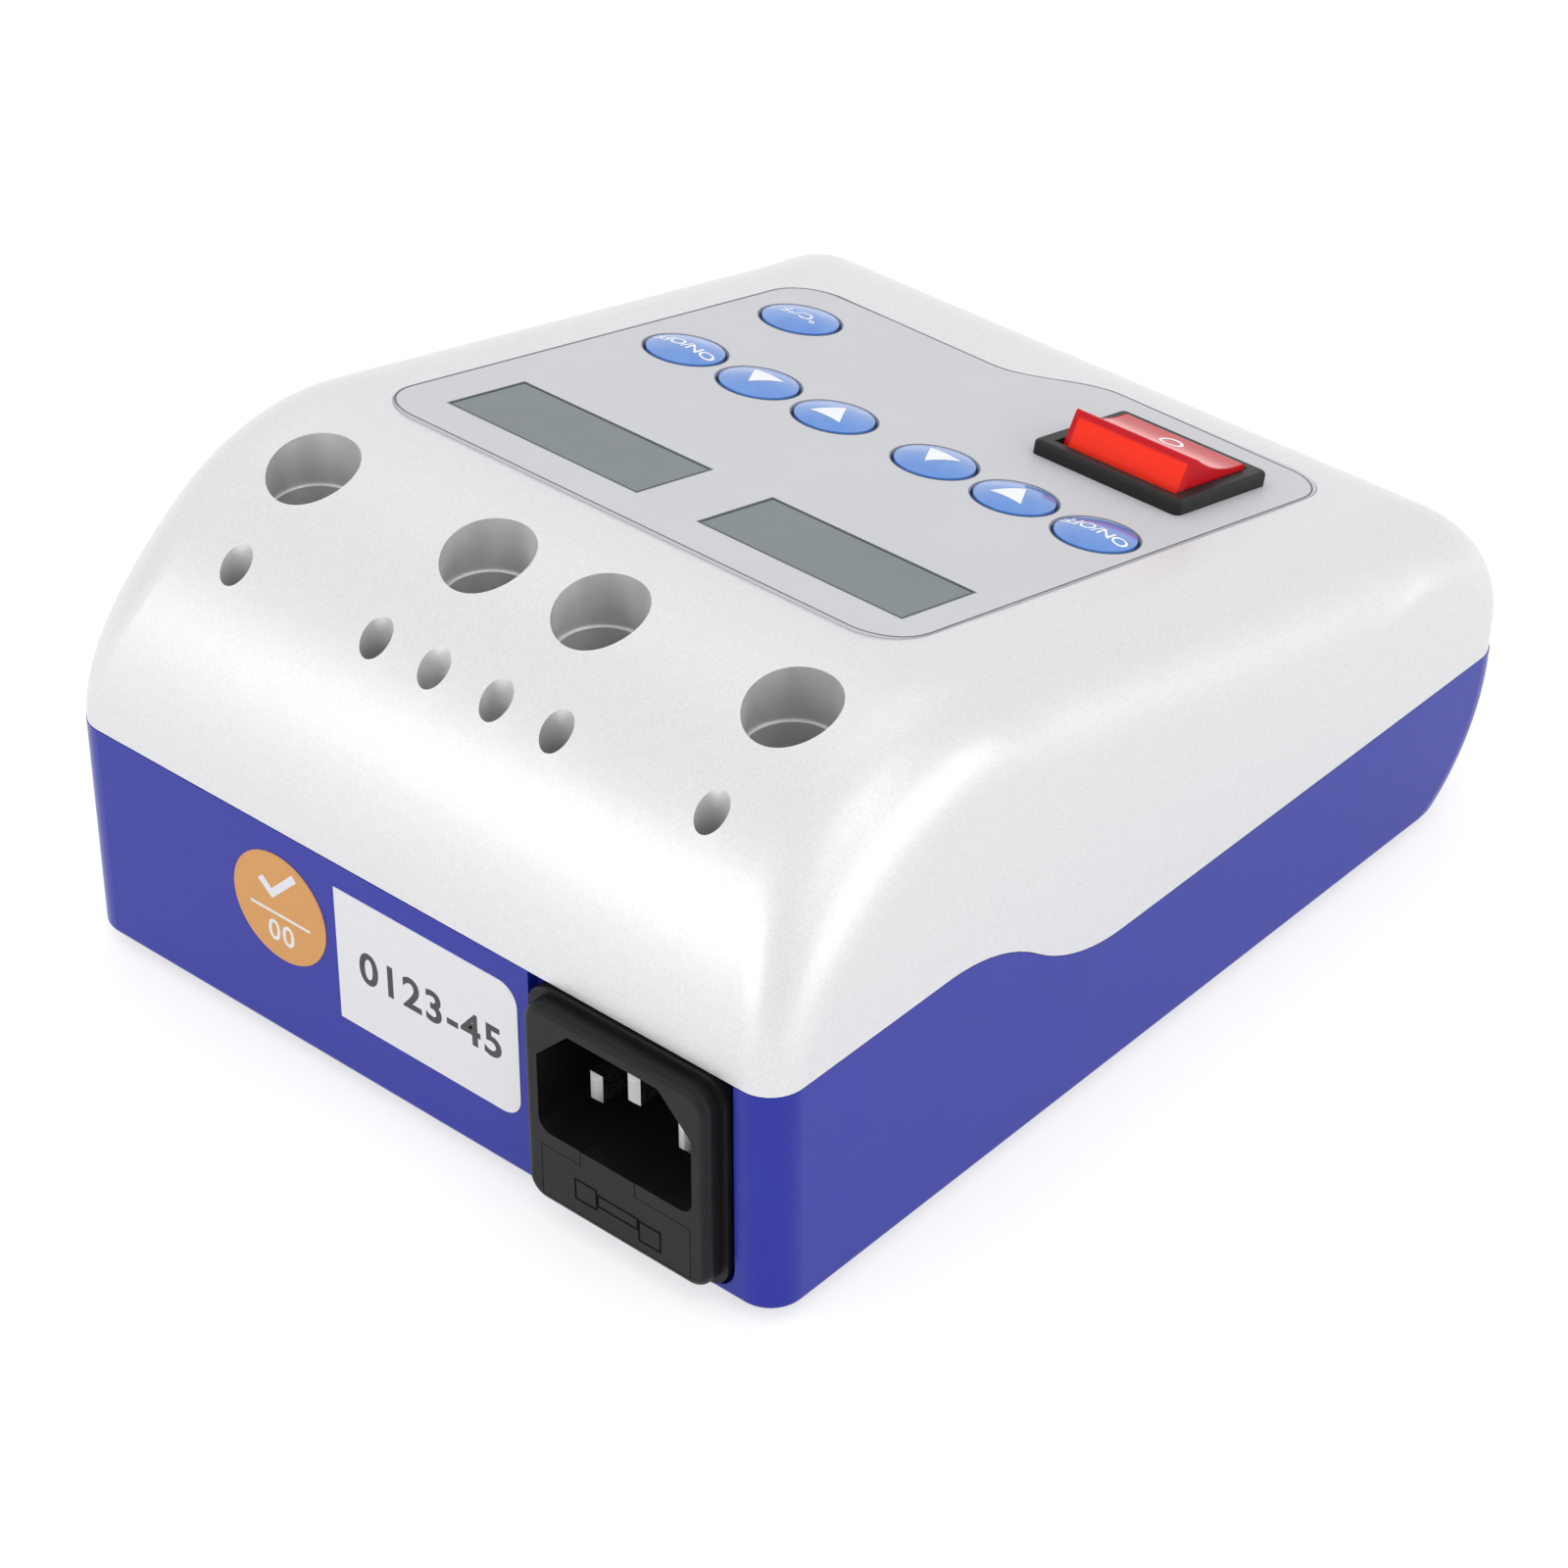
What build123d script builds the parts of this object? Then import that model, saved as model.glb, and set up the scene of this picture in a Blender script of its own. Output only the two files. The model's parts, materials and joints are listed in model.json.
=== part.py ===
"""Electric wax carver: a bench-top control unit for two heated wax pens.

Millimetres. +Z up, the operator sits at -Y and looks towards +Y, +X is at the operator's right.
The origin is on the bench, under the middle of the case.
"""

from build123d import *
from math import acos, atan2, cos, radians, sin, sqrt, tan
import os

os.makedirs("parts", exist_ok=True)

# Case
case_width = 118.0
case_length = 148.0
foot_height = 2.0
wall = 2.2
rear_split_height = 32.2
front_split_height = 20.4
split_gap = 0.1
split_curve_rear_margin = 31.2
split_curve_run = 33.5
panel_slope = 13.0
sweep_radius = 36.2
sweep_centre_height = 30.5
brow_radius = 20.0
chin_setback = 9.6
side_edge_radius = 11.5
corner_radius = 4.8
base_edge_radius = 0.8
boss_radius = 3.2
case_post_radius = 4.6
case_screw_grip = 12.4
case_screw_bite = 8.0
case_screw_spare = 0.5
rear_boss_side_margin = 6.7
rear_boss_end_margin = 27.0
front_boss_side_margin = 9.0
front_boss_end_margin = 17.0

# Wells in the rear sweep
pen_well_radius = 6.0
pen_well_lower_radius = 5.7
pen_well_ledge_depth = 6.5
pen_well_depth = 32.0
pen_well_rear_margin = 26.0
inner_pen_well_x = 9.2
outer_pen_well_side_margin = 19.9
tip_well_radius = 2.12
tip_well_depth = 18.0
tip_well_rear_margin = 12.2
inner_tip_wells_x = (5.1, 14.8)
outer_tip_well_side_margin = 20.0
well_wall = 1.4

# Panel
overlay_rear_margin = 40.54
overlay_front_margin = 1.8
overlay_left = -41.9
overlay_right = 43.7
overlay_step_length = 7.7
overlay_step_start = -6.5
overlay_step_run = 16.0
overlay_corner_radius = 7.0
overlay_thickness = 0.5
overlay_pocket_depth = 0.35
overlay_pocket_clearance = 0.1
window_width = 32.0
window_height = 14.0
window_x = 21.1
window_rear_margin = 7.4
window_gap = 0.02
display_width = 35.6
display_height = 17.6
display_glass_thickness = 2.4
display_light_thickness = 2.6
display_frame_wall = 0.8
display_frame_ledge = 2.0
display_clearance = 0.15
display_fit = 0.05
pane_inset = 0.05
board_drop = 9.0
board_thickness = 1.6
board_side_reach = 11.1
board_rear_margin = 5.0
board_switch_clearance = 4.9
board_tail_clearance = 11.6
board_tail_start = 18.0

# Keys
key_radius = 5.3
key_rim_height = 0.1
key_dome_height = 0.75
key_gap = 0.45
key_flange = 0.5
key_flange_thickness = 0.8
key_rest_clearance = 0.12
key_stem_radius = 1.6
key_travel = 0.4
key_row_share = 0.536
key_columns = (8.4, 21.4, 34.3)
unit_key_x = 34.0
unit_key_front_margin = 19.5
key_stem_clearance = 0.05
key_stem_end_clearance = 0.05
tact_size = 6.0
tact_height = 3.4
tact_floor = 0.8

# Power switch
switch_x = -24.6
switch_front_margin = 18.5
switch_bezel_width = 23.7
switch_bezel_length = 20.0
switch_bezel_height = 2.0
switch_body_width = 21.2
switch_body_length = 18.4
switch_body_depth = 17.0
switch_cutout_clearance = 0.1
switch_side_wall = 0.9
switch_room_half = 8.1
rocker_side_clearance = 0.15
rocker_pivot_lift = -1.3
rocker_top_half = 6.25
rocker_top_height = 6.0
rocker_dish = 1.1
rocker_waist_half = 6.74
rocker_rest_angle = 15.0
rocker_pin_radius = 1.2
rocker_pin_length = 0.55
rocker_pin_clearance = 0.05
rocker_heel_half = 6.2
rocker_heel_drop = 2.4
rocker_edge_radius = 0.4
rocker_leg_width = 4.0
rocker_leg_thickness = 3.0
rocker_leg_length = 6.0
bezel_corner_radius = 1.0
bezel_edge_radius = 0.6
switch_room_depth = 11.5
lamp_radius = 1.5
lamp_length = 12.0
blade_seat = 4.0
blade_column = 6.0
blade_row = 5.5
blade_width = 4.8
blade_thickness = 0.8
blade_length = 8.0

# Mains inlet
inlet_side_margin = 22.3
inlet_pocket_width = 32.2
inlet_pocket_depth = 1.6
inlet_pocket_floor = 0.9
inlet_flange_width = 31.2
inlet_flange_bottom = 1.1
inlet_flange_top = 32.0
inlet_flange_thickness = 2.2
inlet_flange_radius = 3.5
inlet_face_width = 29.0
inlet_face_bottom = 1.5
inlet_face_top = 31.1
inlet_face_thickness = 2.4
inlet_face_radius = 3.0
inlet_face_edge = 1.1
inlet_body_width = 27.0
inlet_body_bottom = 2.6
inlet_body_top = 30.4
inlet_cutout_clearance = 0.15
cavity_width = 24.4
cavity_height = 16.4
cavity_centre_height = 20.7
cavity_chamfer = 5.1
cavity_round = 2.0
cavity_depth = 17.0
cavity_back_wall = 2.0
pin_pitch = 7.0
pin_offset = 2.0
pin_width = 2.0
pin_height = 4.0
pin_setback = 4.1
earth_pin_lead = 1.0
pin_point = 0.6
terminal_width = 6.3
terminal_thickness = 0.8
terminal_length = 8.0
drawer_face_width = 23.6
drawer_face_bottom = 2.7
drawer_face_height = 7.6
drawer_tab_width = 8.6
drawer_tab_shift = 1.2
drawer_face_thickness = 1.4
drawer_body_width = 22.6
drawer_body_height = 6.6
drawer_length = 16.0
drawer_clearance = 0.1
drawer_wall = 1.0
fuse_length = 20.0
fuse_radius = 2.6
fuse_cap_length = 5.0
fuse_cap_wall = 0.2
fuse_glass_wall = 0.5
fuse_seat_clearance = 0.1
fuse_setback = 11.5

# Pen sockets
socket_side_margin = 31.0
socket_height = 10.4
socket_pad_radius = 9.2
socket_face_setback = 1.7
socket_pad_depth = 6.0
socket_flange_radius = 7.6
socket_flange_thickness = 1.4
socket_barrel_radius = 6.0
socket_barrel_length = 10.5
socket_nose_radius = 5.6
socket_hole_clearance = 0.08
socket_insert_radius = 4.6
socket_recess = 1.2
socket_contact_radius = 0.9
socket_contact_bore = 0.55
socket_contact_circle = 2.6
socket_contact_count = 5
socket_tail_length = 3.0
socket_nut_thickness = 2.2
socket_nut_across_flats = 14.0
socket_nut_room_radius = 8.15
socket_face_margin = 0.3

# Transformer
transformer_side_margin = 32.0
transformer_rear_margin = 60.0
core_length = 48.0
core_height = 40.0
core_stack = 22.0
core_leg = 8.0
core_window_height = 24.0
bobbin_wall = 1.0
bobbin_clearance = 0.2
winding_bulge = 6.5
winding_corner_radius = 2.0
bracket_thickness = 1.0
bracket_foot = 8.0
bracket_width = 16.0
bracket_boss_rise = 0.6
bracket_screw_bite = 2.2

# Power board
power_board_side_margin = 8.0
power_board_width = 46.0
power_board_front_margin = 26.0
power_board_rear_margin = 46.0
power_board_rise = 3.8
post_radius = 3.0
post_inset = 4.0
capacitor_sizes = ((7.5, 32.0, 6.3, 17.0), (9.0, 17.0, 5.0, 14.0), (23.0, 10.0, 4.0, 11.0))
capacitor_edge = 0.6
heatsink_side_offset = 15.0
heatsink_rear_offset = 38.0
heatsink_width = 26.0
heatsink_plate = 2.0
heatsink_depth = 9.0
heatsink_height = 18.0
heatsink_fin = 1.4
heatsink_fins = 8
regulator_count = 2
regulator_lift = 5.0
regulator_size = 10.0
regulator_depth = 4.4
regulator_lead_pitch = 2.54
regulator_lead_width = 0.8
rectifier_offset = (36.0, 8.0)
rectifier_width = 18.0
rectifier_depth = 4.4
rectifier_height = 13.0
rectifier_lift = 3.0
rectifier_lead_pitch = 5.0
rectifier_lead_width = 1.0
terminal_block_offsets = (17.0, 35.0)
terminal_block_front_offset = 12.0
terminal_block_width = 15.0
terminal_block_depth = 8.0
terminal_block_height = 10.0
terminal_way_pitch = 5.0
terminal_way_radius = 1.6
terminal_way_width = 3.0
driver_offsets = (31.0, 41.0)
driver_rear_offset = 19.0
driver_width = 6.6
driver_length = 10.0
driver_height = 3.4
chip_size = 12.0
chip_height = 1.8

# Fasteners, feet, stickers
screw_radius = 1.5
screw_head_radius = 2.8
screw_head_height = 1.8
screw_clearance = 0.05
screw_socket_depth = 0.9
screw_socket_share = 0.7
screw_hole_clearance = 0.2
screw_recess_clearance = 0.3
board_hole_clearance = 0.15
board_screw_radius = 1.25
board_screw_head = 2.3
board_screw_length = 6.0
foot_radius = 6.5
foot_side_margin = 13.0
foot_front_margin = 30.0
foot_rear_margin = 14.0
foot_plug_radius = 2.0
foot_plug_length = 1.6
foot_plug_room = 0.1
foot_chamfer = 0.5
sticker_thickness = 0.12
date_label_gap = 1.9
date_label_width = 30.7
date_label_bottom = 8.6
date_label_top = 28.6
date_label_radius = 3.0
seal_gap = 1.9
seal_height = 20.3
seal_radius = 8.1

half_width = case_width / 2
half_length = case_length / 2
floor_z = foot_height
split_curve_rear = half_length - split_curve_rear_margin
pen_well_y = half_length - pen_well_rear_margin
pen_well_columns = (inner_pen_well_x, half_width - outer_pen_well_side_margin)
tip_well_y = half_length - tip_well_rear_margin
tip_well_columns = (*inner_tip_wells_x, half_width - outer_tip_well_side_margin)
overlay_rear_y = half_length - overlay_rear_margin
inlet_x = inlet_side_margin - half_width
socket_x = half_width - socket_side_margin
socket_pad_reach = half_length - socket_face_setback
transformer_x = half_width - transformer_side_margin
transformer_y = half_length - transformer_rear_margin
power_board_left = power_board_side_margin - half_width
power_board_right = power_board_left + power_board_width
power_board_front = power_board_front_margin - half_length
power_board_rear = half_length - power_board_rear_margin
heatsink_x = power_board_left + heatsink_side_offset
heatsink_y = power_board_rear - heatsink_rear_offset
date_label_left = inlet_x + inlet_pocket_width / 2 + date_label_gap
date_label_right = date_label_left + date_label_width
seal_x = date_label_right + seal_gap + seal_radius
split_rear_z = floor_z + rear_split_height
split_front_z = floor_z + front_split_height
slope = radians(panel_slope)
sweep_y = half_length - sweep_radius
sweep_z = floor_z + sweep_centre_height
crest_y = sweep_y - sweep_radius * sin(slope)
crest_z = sweep_z + sweep_radius * cos(slope)
brow_y = brow_radius - half_length
brow_tangent_y = brow_y - brow_radius * sin(slope)
brow_tangent_z = crest_z + (brow_tangent_y - crest_y) * tan(slope)
brow_z = brow_tangent_z - brow_radius * cos(slope)
floor_top = floor_z + wall
overlay_long_length = (overlay_rear_y - brow_tangent_y) / cos(slope) - overlay_front_margin
overlay_short_length = overlay_long_length - overlay_step_length
key_row_distance = overlay_long_length * key_row_share
unit_key_distance = overlay_long_length - unit_key_front_margin
switch_distance = overlay_long_length - switch_front_margin
overlay_rear_z = crest_z + (overlay_rear_y - crest_y) * tan(slope)
panel = Plane(
    origin=(0, overlay_rear_y, overlay_rear_z),
    x_dir=(1, 0, 0),
    z_dir=(0, -sin(slope), cos(slope)),
)
overlay_top = overlay_thickness - overlay_pocket_depth
window_centre = window_rear_margin + window_height / 2
rear_face = half_length + inlet_flange_thickness - inlet_pocket_depth + inlet_face_thickness
key_hole_radius = key_radius + key_gap
display_top = -overlay_pocket_depth - pane_inset
display_reach = window_centre + display_height / 2
board_half_width = window_x + display_width / 2 + board_side_reach
board_front_margin = switch_distance - switch_body_length / 2 - board_switch_clearance
board_tail_margin = overlay_long_length - board_tail_clearance
chip_distance = (display_reach + key_row_distance - tact_size / 2) / 2
rocker_width = switch_body_width - 2 * switch_side_wall - 2 * rocker_side_clearance
power_board_z = floor_top + power_board_rise
power_board_top = power_board_z + board_thickness

finished = {}


def keep(name, solids):
    """Stores one named piece, as one solid or a group of separate solids."""
    group = solids if isinstance(solids, list) else [solids]
    plain = [solid for shape in group for solid in shape.solids()]
    finished[name] = plain[0] if len(plain) == 1 else Compound(children=plain)


def block(x0, x1, y0, y1, z0, z1):
    """A box between two corners."""
    middle = Pos((x0 + x1) / 2, (y0 + y1) / 2, (z0 + z1) / 2)
    return middle * Box(x1 - x0, y1 - y0, z1 - z0)


def post(x, y, z0, z1, radius):
    """An upright round post."""
    return Pos(x, y, (z0 + z1) / 2) * Cylinder(radius, z1 - z0)


def rod_y(x, z, y0, y1, radius):
    """A round rod along Y."""
    return Pos(x, (y0 + y1) / 2, z) * Rot(90, 0, 0) * Cylinder(radius, y1 - y0)


def rod_x(y, z, x0, x1, radius):
    """A round rod along X."""
    return Pos((x0 + x1) / 2, y, z) * Rot(0, 90, 0) * Cylinder(radius, x1 - x0)


def on_panel(x, distance, lift, shape):
    """Places a shape on the sloping panel, a distance down from the overlay's rear edge."""
    return panel * Pos(x, -distance, lift) * shape


def profile_reach(angle, inset):
    """How far the case's side profile lies from the fan's pivot, and how much the ray leans."""
    y_dir = cos(angle)
    z_dir = sin(angle)
    rear = half_length - inset
    sweep = sweep_radius - inset
    brow = brow_radius - inset
    joints = (
        (rear, sweep_z),
        (sweep_y - sweep * sin(slope), sweep_z + sweep * cos(slope)),
        (brow_y - brow * sin(slope), brow_z + brow * cos(slope)),
        (-rear, brow_z),
    )
    turns = [atan2(z - fan_pivot_z, y) for y, z in joints]
    if angle <= turns[0]:
        return rear / y_dir, angle
    if angle >= turns[3]:
        return -rear / y_dir, radians(180) - angle
    if angle <= turns[1] or angle >= turns[2]:
        centre_y, centre_z, radius = sweep_y, sweep_z, sweep
        if angle >= turns[2]:
            centre_y, centre_z, radius = brow_y, brow_z, brow
        along = y_dir * centre_y + z_dir * (centre_z - fan_pivot_z)
        across = centre_y * z_dir - (centre_z - fan_pivot_z) * y_dir
        reach = along + sqrt(radius * radius - across * across)
        return reach, atan2(abs(across), sqrt(radius * radius - across * across))
    normal_part = z_dir * cos(slope) - y_dir * sin(slope)
    height = (joints[1][1] - fan_pivot_z) * cos(slope) - joints[1][0] * sin(slope)
    return height / normal_part, acos(min(1.0, normal_part))


def edge_radius_at(angle):
    """The case's long edges are tight at the split line and grow softer up to the panel."""
    from_wall = min(angle - fan_rear_full, fan_front_full - angle)
    share = max(0.0, min(1.0, from_wall / fan_soft_span))
    smooth = share * share * (3 - 2 * share)
    return corner_radius + (side_edge_radius - corner_radius) * smooth


def fan_section(angle, inset, foot):
    """One arch-shaped section of the upper case, in a plane through the pivot line."""
    reach, lean = profile_reach(angle, inset)
    across = half_width - inset
    round_x = edge_radius_at(angle) - inset
    round_y = round_x / cos(lean)
    spring = reach - round_y
    outline = Wire(
        [
            Line((-across, foot), (across, foot)),
            Line((across, foot), (across, spring)),
            EllipticalCenterArc((across - round_x, spring), round_x, round_y, 0, arc_size=90),
            Line((across - round_x, reach), (round_x - across, reach)),
            EllipticalCenterArc((round_x - across, spring), round_x, round_y, 90, arc_size=90),
            Line((-across, spring), (-across, foot)),
        ]
    )
    here = Plane((0, 0, fan_pivot_z), x_dir=(1, 0, 0), z_dir=(0, -sin(angle), cos(angle)))
    return outline.moved(here.location)


def spread(start, end, steps):
    """Evenly spaced values after start, up to and with end."""
    return [start + (end - start) * i / steps for i in range(1, steps + 1)]


fan_pivot_z = floor_z + 8.0
fan_foot = 5.0
fan_joint_angles = (
    atan2(sweep_z - fan_pivot_z, half_length),
    atan2(crest_z - fan_pivot_z, crest_y),
    atan2(brow_tangent_z - fan_pivot_z, brow_tangent_y),
    atan2(brow_z - fan_pivot_z, -half_length),
)
fan_rear_full = atan2(split_rear_z - fan_pivot_z, half_length)
fan_front_full = fan_joint_angles[3]
fan_soft_span = radians(22)
fan_start = radians(10)
fan_end = radians(176)


def upper_body(inset, overrun):
    """The upper case as one solid, from the rear wall over the panel to the front wall."""
    angles = [fan_start - overrun]
    angles += spread(angles[0], fan_joint_angles[0], 2)
    angles += spread(fan_joint_angles[0], fan_joint_angles[1], 10)
    angles += spread(fan_joint_angles[1], fan_joint_angles[2], 8)
    angles += spread(fan_joint_angles[2], fan_joint_angles[3], 7)
    angles += spread(fan_joint_angles[3], fan_end + overrun, 2)
    foot = fan_foot if inset == 0 else fan_foot - 1
    return Solid.make_loft([fan_section(angle, inset, foot) for angle in angles])


def above_split(raise_by):
    """Everything above the line where the cover meets the base."""
    high = split_rear_z + raise_by
    low = split_front_z + raise_by
    rear_point = (split_curve_rear, high)
    front_point = (split_curve_rear - split_curve_run, low)
    middle = ((rear_point[0] + front_point[0]) / 2, (high + low) / 2)
    reach = case_length
    ceiling = case_length
    first = TangentArc(rear_point, middle, tangent=(-1, 0))
    second = TangentArc(front_point, middle, tangent=(1, 0))
    edges = [
        Line((reach, high), rear_point),
        first,
        second,
        Line(front_point, (-reach, low)),
        Line((-reach, low), (-reach, ceiling)),
        Line((-reach, ceiling), (reach, ceiling)),
        Line((reach, ceiling), (reach, high)),
    ]
    side_plane = Plane(origin=(0, 0, 0), x_dir=(0, 1, 0), z_dir=(1, 0, 0))
    return extrude(side_plane * make_face(edges), amount=case_width, both=True)


def base_body(inset):
    """The base as one solid, with its leaning chin and rounded corners, up past the split."""
    top = split_rear_z + wall
    bottom = floor_z + inset
    setback = chin_setback
    chin_radius = (front_split_height**2 + setback**2) / (2 * setback)
    chin_centre_y = chin_radius - half_length
    inner_radius = chin_radius - inset
    drop = split_front_z - bottom
    foot_y = chin_centre_y - sqrt(inner_radius**2 - drop**2)
    mid_z = split_front_z - drop / 2
    mid_y = chin_centre_y - sqrt(inner_radius**2 - (drop / 2) ** 2)
    front = inset - half_length
    rear = half_length - inset
    edges = [
        Line((rear, bottom), (rear, top)),
        Line((rear, top), (front, top)),
        Line((front, top), (front, split_front_z)),
        ThreePointArc((front, split_front_z), (mid_y, mid_z), (foot_y, bottom)),
        Line((foot_y, bottom), (rear, bottom)),
    ]
    side_plane = Plane(origin=(0, 0, 0), x_dir=(0, 1, 0), z_dir=(1, 0, 0))
    body = extrude(side_plane * make_face(edges), amount=half_width - inset, both=True)

    def on_end(edge):
        centre = edge.center()
        upright = edge.bounding_box().size.Z > wall
        return upright and abs(abs(centre.X) - half_width + inset) < wall / 10

    return fillet(body.edges().filter_by(on_end), corner_radius - inset)


def overlay_outline(grow):
    """The printed overlay's outline, with the step that runs round the power switch."""
    left = overlay_left - grow
    right = overlay_right + grow
    short = -overlay_short_length - grow
    long = -overlay_long_length - grow
    step_end = overlay_step_start + overlay_step_run
    middle = ((overlay_step_start + step_end) / 2, (short + long) / 2)
    edges = [
        Line((left, grow), (right, grow)),
        Line((right, grow), (right, short)),
        Line((right, short), (step_end, short)),
        TangentArc((step_end, short), middle, tangent=(-1, 0)),
        TangentArc((overlay_step_start, long), middle, tangent=(1, 0)),
        Line((overlay_step_start, long), (left, long)),
        Line((left, long), (left, grow)),
    ]
    face = make_face(edges)

    def square_corner(vertex):
        on_side = min(abs(vertex.X - left), abs(vertex.X - right)) < wall / 10
        return on_side

    return fillet(face.vertices().filter_by(square_corner), overlay_corner_radius + grow)


def panel_plate(face, low, high):
    """A flat outline on the panel, given thickness between two heights."""
    return panel * Pos(0, 0, low) * extrude(face, amount=high - low)


def key_places():
    """Each key's name with its place across and down the panel."""
    inner, middle, outer = key_columns
    row = (
        ("key_left_power", -outer),
        ("key_left_down", -middle),
        ("key_left_up", -inner),
        ("key_right_down", inner),
        ("key_right_up", middle),
        ("key_right_power", outer),
    )
    places = [(name, x, key_row_distance) for name, x in row]
    places.append(("key_units", unit_key_x, unit_key_distance))
    return places


def board_bosses():
    """Places of the display board's screws, across and down the panel."""
    side = board_half_width - post_inset
    rear = board_rear_margin + post_inset
    front = board_front_margin - post_inset
    return [(-side, rear), (side, rear), (-side, front), (side, board_tail_margin - post_inset)]


def case_bosses():
    """Places of the four case screws, each with the height where cover and base meet there."""
    rear_x = half_width - rear_boss_side_margin
    rear_y = half_length - rear_boss_end_margin
    front_x = half_width - front_boss_side_margin
    front_y = front_boss_end_margin - half_length
    rear = [(sign * rear_x, rear_y, split_rear_z + split_gap) for sign in (-1, 1)]
    front = [(sign * front_x, front_y, split_front_z + split_gap) for sign in (-1, 1)]
    return rear + front


def wells():
    """Each well's place, radius and depth."""
    places = []
    for sign in (-1, 1):
        for x in pen_well_columns:
            places.append((sign * x, pen_well_y, pen_well_radius, pen_well_depth))
        for x in tip_well_columns:
            places.append((sign * x, tip_well_y, tip_well_radius, tip_well_depth))
    return places


def sweep_surface_z(y):
    """Height of the rear sweep at a given Y."""
    return sweep_z + sqrt(sweep_radius**2 - (y - sweep_y) ** 2)


def make_top_cover():
    outer = upper_body(0, 0)
    inner = upper_body(wall, radians(2))
    cover = outer - inner
    ribs = []
    for x, y, radius, depth in wells():
        top = sweep_surface_z(y)
        ribs.append(post(x, y, top - depth - well_wall, top + radius * 2, radius + well_wall))
    for x, y, joint_z in case_bosses():
        ribs.append(post(x, y, joint_z, sweep_z + sweep_radius, boss_radius))
    for x, distance in board_bosses():
        length = board_drop
        ribs.append(on_panel(x, distance, -length / 2, Cylinder(boss_radius, length)))
    for rib in ribs:
        cover = cover + (rib & outer)
    cover = cover & above_split(split_gap)
    for x, y, radius, depth in wells():
        top = sweep_surface_z(y)
        high = top + radius * 3
        if radius == pen_well_radius:
            ledge = top - pen_well_ledge_depth
            cover = cover - post(x, y, ledge, high, radius)
            cover = cover - post(x, y, top - depth, high, pen_well_lower_radius)
        else:
            cover = cover - post(x, y, top - depth, high, radius)
    pocket = overlay_outline(overlay_pocket_clearance)
    cover = cover - panel_plate(pocket, -overlay_pocket_depth, wall)
    cut_depth = wall * 3
    for sign in (-1, 1):
        hole = Box(display_width + 2 * display_clearance, display_height + 2 * display_clearance, cut_depth)
        cover = cover - on_panel(sign * window_x, window_centre, 0, hole)
    for _, x, distance in key_places():
        cover = cover - on_panel(x, distance, 0, Cylinder(key_hole_radius, cut_depth))
    opening = Box(
        switch_body_width + 2 * switch_cutout_clearance,
        switch_body_length + 2 * switch_cutout_clearance,
        cut_depth,
    )
    cover = cover - on_panel(switch_x, switch_distance, 0, opening)
    for x, y, joint_z in case_bosses():
        pilot_radius = screw_radius + screw_clearance
        cover = cover - post(x, y, joint_z - wall, joint_z + case_screw_bite, pilot_radius)
    for x, distance in board_bosses():
        bite = board_screw_length - board_thickness
        pilot = Cylinder(board_screw_radius + screw_clearance, bite * 2)
        cover = cover - on_panel(x, distance, -board_drop, pilot)
    return cover


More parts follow.
